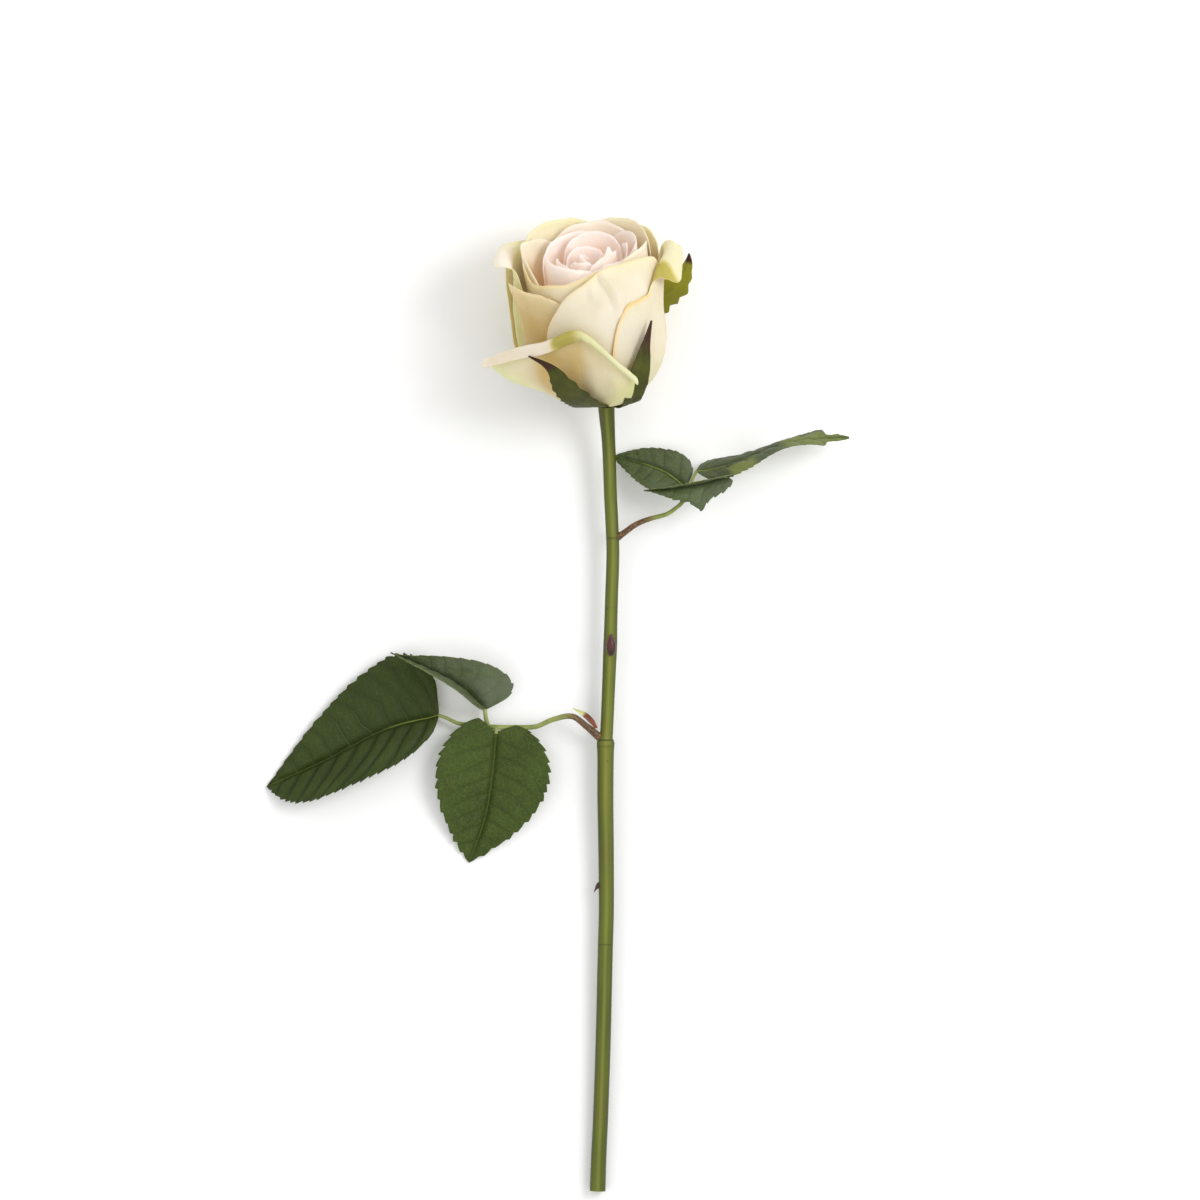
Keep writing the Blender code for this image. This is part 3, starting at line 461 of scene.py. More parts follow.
class Wiring:
    """Short ways to add nodes to one tree."""

    def __init__(self, tree):
        self.tree = tree

    def put(self, socket, value):
        if isinstance(value, bpy.types.NodeSocket):
            self.tree.links.new(value, socket)
        else:
            socket.default_value = value

    def math(self, operation, a, b=0.0, c=None, clamp=False):
        node = self.tree.nodes.new("ShaderNodeMath")
        node.operation = operation
        node.use_clamp = clamp
        self.put(node.inputs[0], a)
        self.put(node.inputs[1], b)
        if c is not None:
            self.put(node.inputs[2], c)
        return node.outputs[0]

    def times(self, a, b, clamp=False):
        return self.math("MULTIPLY", a, b, clamp=clamp)

    def plus(self, a, b, clamp=False):
        return self.math("ADD", a, b, clamp=clamp)

    def drift(self, value, amount, start=0.0):
        """start, moved by how far value is from a half."""
        return self.math("MULTIPLY_ADD", self.math("SUBTRACT", value, 0.5), amount, start)

    def band(self, value, low, high, to_low=0.0, to_high=1.0):
        node = self.tree.nodes.new("ShaderNodeMapRange")
        node.interpolation_type = "SMOOTHSTEP"
        self.put(node.inputs["Value"], value)
        self.put(node.inputs["From Min"], low)
        self.put(node.inputs["From Max"], high)
        self.put(node.inputs["To Min"], to_low)
        self.put(node.inputs["To Max"], to_high)
        return node.outputs["Result"]

    def mix(self, amount, a, b):
        node = self.tree.nodes.new("ShaderNodeMix")
        node.data_type = "RGBA"
        self.put(node.inputs[0], amount)
        self.put(node.inputs[6], a)
        self.put(node.inputs[7], b)
        return node.outputs[2]

    def place(self):
        return self.tree.nodes.new("ShaderNodeTexCoord").outputs["Object"]

    def own(self):
        return self.tree.nodes.new("ShaderNodeTexCoord").outputs["UV"]

    def stretch(self, vector, scale):
        node = self.tree.nodes.new("ShaderNodeMapping")
        self.put(node.inputs["Vector"], vector)
        node.inputs["Scale"].default_value = scale
        return node.outputs["Vector"]

    def attribute(self, name):
        node = self.tree.nodes.new("ShaderNodeAttribute")
        node.attribute_name = name
        return node.outputs

    def split(self, vector):
        node = self.tree.nodes.new("ShaderNodeSeparateXYZ")
        self.put(node.inputs[0], vector)
        return node.outputs

    def cloud(self, vector, scale, detail=3.0, roughness=0.5):
        node = self.tree.nodes.new("ShaderNodeTexNoise")
        self.put(node.inputs["Vector"], vector)
        self.put(node.inputs["Scale"], scale)
        node.inputs["Detail"].default_value = detail
        node.inputs["Roughness"].default_value = roughness
        return node.outputs["Fac"]

    def bump(self, height, strength, distance):
        node = self.tree.nodes.new("ShaderNodeBump")
        node.inputs["Strength"].default_value = strength
        node.inputs["Distance"].default_value = distance
        self.put(node.inputs["Height"], height)
        return node.outputs["Normal"]


def colour(r, g, b):
    """A screen colour from 0 to 255 as the linear value that shaders use."""
    return tuple(((c / 255 + 0.055) / 1.055) ** 2.4 if c > 10 else c / 3294 for c in (r, g, b)) + (1.0,)


def shaded(paint, share):
    """A colour with its light scaled."""
    return tuple(c * share for c in paint[:3]) + (1.0,)


def mottle_group():
    """Uneven colour: soft blotches and fine flecks, from 0 to 1 round a middle of a half."""
    group, enter, leave = new_group(
        "uneven_growth",
        [("Vector", "NodeSocketVector", (0, 0, 0)), ("Blotch Scale", "NodeSocketFloat", 60.0),
         ("Fleck Scale", "NodeSocketFloat", 700.0)],
        [("Blotches", "NodeSocketFloat"), ("Flecks", "NodeSocketFloat")],
    )
    w = Wiring(group)
    w.put(leave["Blotches"], w.cloud(enter["Vector"], enter["Blotch Scale"], 3.0))
    w.put(leave["Flecks"], w.cloud(enter["Vector"], enter["Fleck Scale"], 2.0, 0.6))
    return group


def fibre_group():
    """Fine raised lines that fan along a petal or leaf, from its own UV map."""
    group, enter, leave = new_group(
        "fine_fibres",
        [("Vector", "NodeSocketVector", (0, 0, 0)), ("Lines Across", "NodeSocketFloat", 40.0),
         ("Waviness", "NodeSocketFloat", 1.0)],
        [("Lines", "NodeSocketFloat")],
    )
    w = Wiring(group)
    parts = w.split(enter["Vector"])
    wave = w.math("MULTIPLY", w.cloud(enter["Vector"], 4.0, 2.0), enter["Waviness"])
    across = w.math("MULTIPLY_ADD", parts["X"], enter["Lines Across"], wave)
    joined = group.nodes.new("ShaderNodeCombineXYZ")
    w.put(joined.inputs[0], across)
    w.put(joined.inputs[1], w.math("MULTIPLY", parts["Y"], 1.3))
    w.put(leave["Lines"], w.cloud(joined.outputs[0], 1.0, 3.0, 0.55))
    return group


def use_group(w, group, values):
    """Places a group in one material, with that material's values."""
    node = w.tree.nodes.new("ShaderNodeGroup")
    node.node_tree = group
    for label, value in values.items():
        w.put(node.inputs[label], value)
    return node.outputs


def leaf_vein_group():
    """Veins of a leaf blade, as masks. Leaf is the blade's UV map: centimetres from the midrib, and a count
    of side veins from the base."""
    group, enter, leave = new_group(
        "leaf_veins",
        [("Leaf", "NodeSocketVector", (0, 0, 0)), ("Place", "NodeSocketVector", (0, 0, 0)),
         ("Blotches", "NodeSocketFloat", 0.5), ("Midrib Light", "NodeSocketFloat", 1.0)],
        [(label, "NodeSocketFloat") for label in ("Net", "Hollow Shade", "Side Veins", "Midrib", "Shade Beside Midrib")],
    )
    w = Wiring(group)
    parts = w.split(enter["Leaf"])
    off_rib = w.math("ABSOLUTE", parts["X"])
    from_vein = w.math("ABSOLUTE", w.math("SUBTRACT", w.math("FRACT", parts["Y"]), 0.5))
    lines = w.times(w.band(from_vein, 0.46, 0.493), w.band(off_rib, 2.4, 0.5))
    w.put(leave["Side Veins"], w.times(lines, w.band(enter["Blotches"], 0.35, 0.6, 0.25, 1.0)))
    # Hollows mask the sunken side veins for painted shade.
    w.put(leave["Hollow Shade"], w.times(w.band(from_vein, 0.34, 0.48), w.band(off_rib, 2.6, 0.4)))
    cells = group.nodes.new("ShaderNodeTexVoronoi")
    cells.feature = "DISTANCE_TO_EDGE"
    w.put(cells.inputs["Vector"], enter["Place"])
    cells.inputs["Scale"].default_value = 430.0
    w.put(leave["Net"], w.band(cells.outputs["Distance"], 0.09, 0.0))
    lit = w.math("MULTIPLY_ADD", enter["Midrib Light"], 0.8, 0.2)
    w.put(leave["Midrib"], w.times(w.band(off_rib, 0.045, 0.018), lit))
    # A band beside the midrib, for painted shade in its groove.
    w.put(leave["Shade Beside Midrib"], w.band(off_rib, 0.2, 0.05))
    return group


def new_material(name):
    material = bpy.data.materials.new(name)
    material.use_nodes = True
    tree = material.node_tree
    shader = next(n for n in tree.nodes if n.type == "BSDF_PRINCIPLED")
    return material, shader, Wiring(tree)


def finish_skin(w, shader, face, grain, smooth, rough, height, strength, depth):
    """Colours a skin, lets its roughness follow a grain from smooth to rough, and raises its fine relief."""
    w.put(shader.inputs["Base Color"], face)
    w.put(shader.inputs["Roughness"], w.band(grain, 0.2, 0.8, smooth, rough))
    w.put(shader.inputs["Normal"], w.bump(height, strength, depth))


def petal_material(name, mottle, fibres):
    """Petal skin: its tone map holds how pink and green each point is, and how much painted warm glow and
    painted tan shade it has; its emission is a painted glow.
    """
    material, shader, w = new_material(name)
    tone = w.attribute("tone")
    tones = w.tree.nodes.new("ShaderNodeSeparateColor")
    w.put(tones.inputs[0], tone["Color"])
    pink, green, depth_glow = tones.outputs[0], tones.outputs[1], tones.outputs[2]
    uneven = use_group(w, mottle, {"Vector": w.place(), "Blotch Scale": 70.0, "Fleck Scale": 900.0})
    lines = use_group(w, fibres, {"Vector": w.own(), "Lines Across": 70.0, "Waviness": 1.5})["Lines"]
    soft = w.drift(uneven["Blotches"], 0.7)

    def blotched(share):
        return w.plus(share, w.times(soft, share), clamp=True)

    base = w.mix(w.band(uneven["Blotches"], 0.3, 0.7), colour(243, 229, 200), colour(238, 221, 187))
    # The tone's alpha is a painted tan shade: it darkens the cream to tan and the green to olive.
    tan_shade_share = w.times(tone["Alpha"], w.band(uneven["Blotches"], 0.2, 0.8, 0.8, 1.15), clamp=True)
    base = w.mix(tan_shade_share, base, colour(206, 171, 108))
    base = w.mix(blotched(pink), base, colour(249, 233, 226))
    # Painted warm glow: orange that stands in for light bounced and shone through deep in the cup.
    base = w.mix(blotched(depth_glow), base, colour(250, 188, 112))
    base = w.mix(blotched(green), base, w.mix(tan_shade_share, colour(219, 222, 138), colour(172, 160, 76)))
    base = w.mix(w.times(w.band(lines, 0.5, 0.75), 0.06), base, colour(200, 170, 120))
    height = w.math("MULTIPLY_ADD", uneven["Flecks"], 0.35, lines)
    finish_skin(w, shader, base, uneven["Flecks"], 0.55, 0.72, height, 0.35, 0.0004)
    shader.inputs["Subsurface Weight"].default_value = 0.3
    shader.inputs["Subsurface Radius"].default_value = (1.0, 0.62, 0.34)
    shader.inputs["Subsurface Scale"].default_value = 0.004
    shader.inputs["Specular IOR Level"].default_value = 0.3
    # Painted glow: emission from the pink and warm tones makes the petals shine as if lit through.
    painted_glow = w.tree.nodes.new("ShaderNodeVectorMath")
    painted_glow.operation = "SCALE"
    w.put(painted_glow.inputs[0], base)
    w.put(painted_glow.inputs["Scale"], w.plus(w.math("MULTIPLY_ADD", pink, 0.07, 0.01), w.times(depth_glow, 0.06)))
    w.put(shader.inputs["Emission Color"], painted_glow.outputs["Vector"])
    shader.inputs["Emission Strength"].default_value = 1.0
    return material


def leaf_material(name, mottle, veins, top, rib, turned, roughness):
    """Leaf face: its tone map holds a painted grey sheen, the turned-over pale face, painted shade in dark
    hollows and the midrib's light."""
    material, shader, w = new_material(name)
    tone = w.attribute("tone")
    sheen_film, over, shadow = w.split(tone["Vector"])
    place = w.place()
    uneven = use_group(w, mottle, {"Vector": place, "Blotch Scale": 75.0, "Fleck Scale": 900.0})
    vein = use_group(w, veins, {"Leaf": w.own(), "Place": place, "Blotches": uneven["Blotches"],
                                "Midrib Light": tone["Alpha"]})
    # deep is a shaded copy of the top colour, for painted shade.
    deep = shaded(top, 0.45)
    face = w.mix(w.band(uneven["Blotches"], 0.3, 0.72), top, shaded(top, 0.68))
    face = w.mix(w.times(w.band(uneven["Flecks"], 0.5, 0.75), 0.45), face, shaded(top, 1.8))
    face = w.mix(w.times(vein["Net"], 0.16), face, rib)
    # Painted shade along the sunken side veins.
    face = w.mix(w.times(vein["Hollow Shade"], 0.3), face, deep)
    # Painted shade from the tone map's dark hollows.
    face = w.mix(shadow, face, deep)
    # Painted grey sheen, as grazing light on the leaf's face.
    face = w.mix(sheen_film, face, colour(122, 128, 112))
    face = w.mix(w.times(over, w.band(uneven["Flecks"], 0.2, 0.8, 1.0, 0.8)), face, turned)
    # Painted shade in the groove beside the midrib.
    face = w.mix(w.times(vein["Shade Beside Midrib"], 0.55), face, deep)
    face = w.mix(w.times(vein["Side Veins"], 0.24), face, rib)
    face = w.mix(w.times(vein["Midrib"], 0.9), face, rib)
    ridges = w.plus(w.times(vein["Net"], -0.25), w.times(vein["Side Veins"], -0.6))
    ridges = w.math("MULTIPLY_ADD", uneven["Flecks"], 0.5, ridges)
    finish_skin(w, shader, face, uneven["Flecks"], roughness - 0.1, roughness + 0.12, ridges, 0.6, 0.0005)
    shader.inputs["Specular IOR Level"].default_value = 0.22
    return material


def stem_material(name, mottle, light, dark, brown, rings):
    """Stem skin: streaks along it, painted shade on its flanks, a painted highlight down its middle, and node
    rings of (place along y, width, strength).
    """
    material, shader, w = new_material(name)
    place = w.place()
    uneven = use_group(w, mottle, {"Vector": place, "Blotch Scale": 45.0, "Fleck Scale": 900.0})
    streak = w.cloud(w.stretch(place, (900.0, 22.0, 900.0)), 1.0, 3.0, 0.6)
    long = w.cloud(w.stretch(place, (120.0, 14.0, 120.0)), 1.0, 2.0)
    face = w.mix(w.band(long, 0.3, 0.7), light, dark)
    face = w.mix(w.times(w.band(streak, 0.45, 0.75), 0.35), face, shaded(light, 0.55))
    face = w.mix(w.times(w.band(uneven["Blotches"], 0.55, 0.78), 0.35), face, brown)
    spots = w.tree.nodes.new("ShaderNodeTexVoronoi")
    w.put(spots.inputs["Vector"], place)
    spots.inputs["Scale"].default_value = 210.0
    speck = w.times(w.band(spots.outputs["Distance"], 0.12, 0.06), w.band(uneven["Blotches"], 0.5, 0.62))
    face = w.mix(w.times(speck, 0.75), face, colour(58, 44, 22))
    along = w.split(place)["Y"]
    face = w.mix(w.times(w.band(along, 0.085, 0.118), 0.75), face, colour(74, 78, 20))
    flank = w.attribute("flank")["Fac"]
    # Painted shade on the flanks that face sideways.
    face = w.mix(w.times(w.band(flank, 0.5, 0.92), 0.65), face, colour(54, 60, 15))
    # Painted highlight down the middle, where the skin faces up or down.
    face = w.mix(w.times(w.band(flank, 0.38, 0.04), 0.36), face, colour(148, 150, 72))
    for ring, wide, strong in rings:
        off = w.math("ABSOLUTE", w.math("SUBTRACT", along, (ring + SHIFT[1]) * MM))
        face = w.mix(w.times(w.band(off, wide * MM, 0.3 * wide * MM), strong), face, colour(52, 50, 22))
    height = w.math("MULTIPLY_ADD", uneven["Flecks"], 0.4, streak)
    finish_skin(w, shader, face, streak, 0.34, 0.52, height, 0.4, 0.0003)
    shader.inputs["Specular IOR Level"].default_value = 0.3
    return material


def sepal_material(name, mottle, fibres, light):
    """Sepal face: its tone map holds how near the tip each point is, and how pale the sepal is."""
    material, shader, w = new_material(name)
    tip, pale, _ = w.split(w.attribute("tone")["Vector"])
    uneven = use_group(w, mottle, {"Vector": w.place(), "Blotch Scale": 110.0, "Fleck Scale": 800.0})
    lines = use_group(w, fibres, {"Vector": w.own(), "Lines Across": 22.0, "Waviness": 0.8})["Lines"]
    face = w.mix(w.band(uneven["Blotches"], 0.3, 0.7), light, shaded(light, 0.62))
    face = w.mix(pale, face, colour(138, 140, 38))
    face = w.mix(w.times(w.band(lines, 0.5, 0.72), 0.3), face, shaded(light, 0.5))
    face = w.mix(w.band(w.drift(uneven["Blotches"], 0.9, tip), 0.35, 0.75), face, colour(66, 40, 26))
    height = w.math("MULTIPLY_ADD", uneven["Flecks"], 0.4, lines)
    finish_skin(w, shader, face, uneven["Flecks"], 0.5, 0.7, height, 0.5, 0.0004)
    shader.inputs["Specular IOR Level"].default_value = 0.22
    return material


def bark_material(name, mottle, main, second, roughness, tip=None):
    """A plain skin in two uneven colours; with a tip colour, the far half of its UV turns to it."""
    material, shader, w = new_material(name)
    uneven = use_group(w, mottle, {"Vector": w.place(), "Blotch Scale": 260.0, "Fleck Scale": 1600.0})
    face = w.mix(w.band(uneven["Blotches"], 0.35, 0.65), main, second)
    if tip:
        reach = w.drift(uneven["Blotches"], 0.5, w.split(w.own())["Y"])
        face = w.mix(w.band(reach, 0.5, 0.62), face, tip)
    flecks = uneven["Flecks"]
    finish_skin(w, shader, face, flecks, roughness - 0.1, roughness + 0.15, flecks, 0.4, 0.0003)
    return material


def stalk_material(name, mottle, joint):
    """Leaf stalk: rust brown by the stem, green further out."""
    material, shader, w = new_material(name)
    place = w.place()
    uneven = use_group(w, mottle, {"Vector": place, "Blotch Scale": 150.0, "Fleck Scale": 1200.0})
    flecks = uneven["Flecks"]
    away = w.tree.nodes.new("ShaderNodeVectorMath")
    away.operation = "DISTANCE"
    w.put(away.inputs[0], place)
    away.inputs[1].default_value = tuple((np.array(joint[:3]) + SHIFT) * MM)
    far = w.drift(uneven["Blotches"], 0.012, away.outputs["Value"])
    green = w.mix(w.band(uneven["Blotches"], 0.3, 0.7), colour(150, 158, 88), colour(116, 128, 58))
    rust = w.mix(w.band(flecks, 0.42, 0.62), colour(70, 50, 26), colour(128, 92, 58))
    face = w.mix(w.band(far, 0.010, 0.022), rust, green)
    finish_skin(w, shader, face, flecks, 0.42, 0.62, flecks, 0.4, 0.0003)
    return material


# ---------------------------------------------------------------- petals

def meridian(radius, layer_radius, top, rows):
    """Profile of a cup shell from its base round the belly and straight up to its top."""
    share = min(layer_radius / BLOOM_RADIUS, 1.0)
    base_h = 1.0 + 20.0 * (1.0 - share)
    base_r = 1.2 + 6.5 * share
    belly_h = base_h + BELLY_HEIGHT
    r, h = cup_side(base_r, base_h, radius)
    if top > belly_h:
        extra = np.linspace(belly_h, top, 30)[1:]
        r = np.concatenate([r, np.full(len(extra), radius)])
        h = np.concatenate([h, extra])
    else:
        keep = h < top
        end_r = np.interp(top, h, r)
        r = np.append(r[keep], end_r)
        h = np.append(h[keep], top)
    lengths = run_along(r, h)
    at = np.linspace(0.0, 1.0, rows) ** 0.92 * lengths[-1]
    return np.interp(at, lengths, r), np.interp(at, lengths, h)


def lifted(shape, s, r_path, h_path):
    """Raises a petal's foot, and keeps it outside the petals below."""
    raised = through(shape["lift"], s)
    up = (h_path - h_path[0]) / (h_path[-1] - h_path[0])
    h_path = h_path + raised * (1.0 - up) ** 1.5
    under = shape["radius"] - 0.5
    under_r, under_h = meridian(under, under, 44.0, 120)
    clear = np.maximum(r_path, np.interp(h_path, under_h, under_r))
    return r_path + ease(raised / 1.5) * (clear - r_path), h_path


def rolled(shape, s, angle, rows, r_path, h_path):
    """Adds the rim's outward roll and the flap past it. Also gives how far each added row is past the rim."""
    curl = shape["roll_radius"]
    whole = math.radians(max(angle, 4.0))
    hang = max(through(shape["flap"], s), 0.0) if "flap" in shape else 0.0
    at = np.linspace(0.0, 1.0, rows + 1)[1:] * (whole * curl + hang)
    turns = np.minimum(at / curl, whole)
    past = np.maximum(at - whole * curl, 0.0)
    r_path = np.append(r_path, r_path[-1] + curl * (1.0 - np.cos(turns)) + past * math.sin(whole))
    h_path = np.append(h_path, h_path[-1] + curl * np.sin(turns) + past * math.cos(whole))
    return r_path, h_path, at if angle > 8.0 else np.zeros(rows)


def crease_rise(creases, s, up):
    """How far the creases lift one point of a petal."""
    total = 0.0
    for s0, t0, s1, t1, tall, wide in creases:
        run_s, run_t = s1 - s0, t1 - t0
        k = ((s - s0) * run_s + (up - t0) * run_t) / (run_s ** 2 + run_t ** 2)
        gap = math.hypot(s - s0 - k * run_s, up - t0 - k * run_t)
        total += tall * math.exp(-((gap / wide) ** 2)) * ease((k + 0.15) / 0.3) * ease((1.15 - k) / 0.3)
    return total


def petal_tones(shape, inner, s, h, below, to_edge):
    """Shares of pink, green, painted warm glow and painted tan shade at one point, outside and inside. inner
    is
    0 for the outer petals and 1 for the heart, below the height under the rim and to_edge the way to the free
    edge."""
    edge = math.exp(-below / 2.2)
    near_rim = math.exp(-below / 7.0)
    side_edge = ease((abs(s) - 0.86) / 0.14)
    deep = ease((below - 3.0) / 15.0)
    low = 1.0 - ease((h - 6.0) / 26.0)
    pink = 0.65 * inner + 0.3 * inner * near_rim
    rim_green = shape.get("green", 0.0) * (0.7 * edge + 0.3 * near_rim + 0.35 * side_edge)
    green = rim_green + 0.3 * low
    if "outer_green" in shape:
        strong = through(shape["outer_green"], s)
        reach = ease((shape.get("green_top", 20.0) - h + 25.0 * abs(s)) / 30.0)
        green = max(rim_green + 0.7 * low * strong, 0.9 * strong * reach)
    # Painted tan shade where the petal lies in shade; every petal gets a little.
    tan_shade = 0.12
    if "tan_shade" in shape:
        tan_shade = through(shape["tan_shade"], s) * (0.5 + 0.5 * ease((h - 3.0) / 20.0))
    to_side = (1.0 - abs(s)) * math.radians(shape["half"]) * shape["radius"]
    # Painted warm glow along the free edges, where petals meet.
    painted_glow = shape.get("edge_glow", 0.0) * math.exp(-min(to_edge, to_side) / 0.7)
    # The third share is a painted warm glow deep in the cup and at the free edges; the fourth is the painted
    # tan shade.
    outside = (pink, min(green, 1.0), max(0.22 * inner * deep, painted_glow), tan_shade * (1.0 - 0.6 * edge))
    inside = (max(pink, 0.15), min(rim_green + 0.15 * (1.0 - inner), 1.0), (0.32 + 0.28 * inner) * deep, 0.0)
    return outside, inside


def petal(name, shape, order, material, across=57, along=40):
    """One petal: a shell round the flower's axis from its foot to its rim, thin and closed."""
    flat = [(-1.0, 0.0), (1.0, 0.0)]
    rim = shape["rim"]
    curl_rows = 18 if "roll" in shape else 0
    inner = min(max((order - 6.5) / 8.0, 0.0), 1.0)
    ruffle = 0.55 if order < 14 else 0.3
    low_narrow = shape.get("low_narrow", 0.6)
    narrow_rows = shape.get("narrow_to", 0.5) * along
    rows = along + curl_rows
    grid = np.zeros((rows, across, 3))
    uv = np.zeros((rows, across, 2))
    outside = np.zeros((rows, across, 4))
    inside = np.zeros((rows, across, 4))
    crowd = math.radians(75.0)  # columns stand closer towards the petal's sides
    for j in range(across):
        s = math.sin(crowd * (2.0 * j / (across - 1) - 1.0)) / math.sin(crowd)
        angle = through(shape.get("roll", flat), s)
        crest = shape.get("roll_radius", 0.0) * math.sin(math.radians(min(angle, 90.0)))
        waves = 0.5 * wander(order, 4.0 * s) + 0.25 * wander(order + 3, 13.0 * s)
        rim_h = through(rim, s) - crest + waves + 0.16 * wander(order + 9, 33.0 * s)
        radius = shape["radius"] + through(shape.get("flare", flat), s)
        r_path, h_path = meridian(radius, shape["radius"], rim_h, along)
        rise = (through(rim, min(s + 0.02, 1.0)) - through(rim, max(s - 0.02, -1.0))) / 0.04
        slope = math.hypot(1.0, rise / (math.radians(shape["half"]) * shape["radius"]))
        if "lift" in shape:
            r_path, h_path = lifted(shape, s, r_path, h_path)
        over = np.zeros(1)
        if curl_rows:
            r_path, h_path, over = rolled(shape, s, angle, curl_rows, r_path, h_path)
        for i in range(rows):
            h = h_path[i]
            below = max(rim_h - h, 0.0) if i < along else 0.0
            narrow = low_narrow + (1.0 - low_narrow) * ease(i / narrow_rows)
            turn = shape["turn"] + shape["half"] * s * narrow
            r = gathered(r_path[i], turn, h)
            r += through(shape.get("top_flare", flat), s) * ease((h - 40.0) / 18.0)
            r += ruffle * math.exp(-below / 7.0) * wander(order + 0.5, 3.1 * s, 0.05 * h)
            r += 0.12 * wander(order + 7.5, 6.0 * s, 0.10 * h) * ease((h - 8.0) / 20.0)
            r += crease_rise(shape.get("creases", []), s, i / (along - 1))
            grid[i, j] = in_head(r, turn, h)
            uv[i, j] = (0.5 + 0.5 * s, i / (rows - 1))
            to_edge = below / slope + over[-1] if i < along else over[-1] - over[i - along]
            outside[i, j], inside[i, j] = petal_tones(shape, inner, s, h, below, to_edge)
        if "fold" in shape:
            shades = [[(knot[0], knot[part]) for knot in shape["fold"]] for part in (1, 2, 3, 4)]
            inside[along:, j] = [through(shade, s) for shade in shades]
    return sheet_mesh(name, grid, PETAL_THICK, [material], uv, (outside, inside))


# ---------------------------------------------------------------- green parts

def sepal(name, shape, material, across=25, along=120):
    """One sepal: a toothed strip that follows the bloom from the seat up to its own tip."""
    path, height = shape["path"], shape["height"]
    widths = shape.get("widths", SEPAL_WIDTHS)
    away_from = shape.get("away_from", 0.0)
    r, h = cup_side(SEAT_RADIUS, shape.get("start", -1.2), shape["radius"])
    if height > h[-1]:
        r = np.append(r, shape["radius"])
        h = np.append(h, height)
    else:
        keep = h <= height
        r, h = r[keep], h[keep]
    lengths = run_along(r, h)
    whole = lengths[-1]
    grid = np.zeros((along, across, 3))
    uv = np.zeros((along, across, 2))
    tone = np.zeros((along, across, 4))
    seed = sum(map(ord, name)) % 31
    for i in range(along):
        t = i / (along - 1)
        middle_h = float(np.interp(t * whole, lengths, h))
        away = shape.get("away", 0.0) * ease((middle_h - away_from) / (height - away_from))
        middle_r = float(np.interp(t * whole, lengths, r)) + away
        half = shape["wide"] * through(widths, t)
        ahead = through(path, np.interp(min(t + 0.02, 1.0) * whole, lengths, h))
        behind = through(path, np.interp(max(t - 0.02, 0.0) * whole, lengths, h))
        slant = math.atan2(math.radians(ahead - behind) * middle_r, 0.04 * whole)
        twist = math.radians(shape.get("twist", 0.0) * ease((t - 0.45) / 0.3))
        brown = ease((t - shape["brown"]) / (1.0 - shape["brown"]))
        for j in range(across):
            s = 2.0 * j / (across - 1) - 1.0
            phase = (t * (9.0 if s > 0 else 14.0)) % 1.0
            tooth = shape["teeth"] * 2.1 * (phase - 0.5) * abs(s) ** 4
            tooth *= ease((0.95 - t) / 0.2) * ease((t - 0.12) / 0.1)
            reach = half * s + math.copysign(tooth, s)
            sideways = reach * math.cos(twist) * math.cos(slant)
            turn = through(path, middle_h) + math.degrees(sideways / middle_r)
            down = t * whole - reach * math.sin(slant)
            point_r = float(np.interp(down, lengths, r)) + away - reach * math.sin(twist)
            point_h = float(np.interp(down, lengths, h)) + max(down - whole, 0.0)
            groove = -0.25 * math.exp(-((half * s / 0.9) ** 2)) + 0.25 * wander(seed, 2.0 * s, 9.0 * t)
            grid[i, j] = in_head(point_r + groove + 0.12 * s * s * half, turn, point_h)
            grid[i, j, 2] = max(grid[i, j, 2], SURFACE_GAP)
            uv[i, j] = (0.5 + 0.5 * s, t)
            tone[i, j] = (brown, shape["light"] * (0.75 + 0.25 * t), 0.0, 1.0)
    return sheet_mesh(name, grid, SEPAL_THICK, [material], uv, (tone, tone))


def turned_over(s, t):
    """Where a twisted leaflet shows its pale face: a patch by its base, and most of its far end."""
    near_base = ease((s - 0.3) / 0.12) * ease((t - 0.18) / 0.05) * ease((0.44 - t) / 0.08)
    green_rim = ease((-s - 0.5) / 0.2) * ease((t - 0.66) / 0.06) * ease((0.86 - t) / 0.02)
    return max(near_base, 0.8 * ease((t - 0.56) / 0.08) * (1.0 - 0.8 * green_rim))


def leaflet_tone(shape, seed, s, t, off, part):
    """Painted grey sheen, turned-over pale face, painted shade in the hollows and midrib light at one point
    of a leaflet.
    """
    uneven = 0.5 + 0.5 * wander(seed + 11, 2.2 * s, 5.0 * t)
    by_vein = math.exp(-((min(part, 1.0 - part) / 0.16) ** 2)) * ease(off / 4.0)
    stripes = 0.5 if s > 0 else 0.2
    # Painted shade in the hollows: blotchy, and stronger along the side veins.
    dark = shape.get("dark", 0.0) * (0.55 * (0.55 + 0.9 * uneven) + stripes * by_vein)
    # Painted grey sheen, stronger towards the base.
    sheen_grey = shape.get("sheen_grey", 0.0) * (0.4 + 0.9 * uneven) * (1.15 - 0.7 * t)
    shine = ease((shape.get("bright", 1.0) - t) / 0.2)
    return sheen_grey, turned_over(s, t) if "turned" in shape else 0.0, min(dark, 1.0), shine


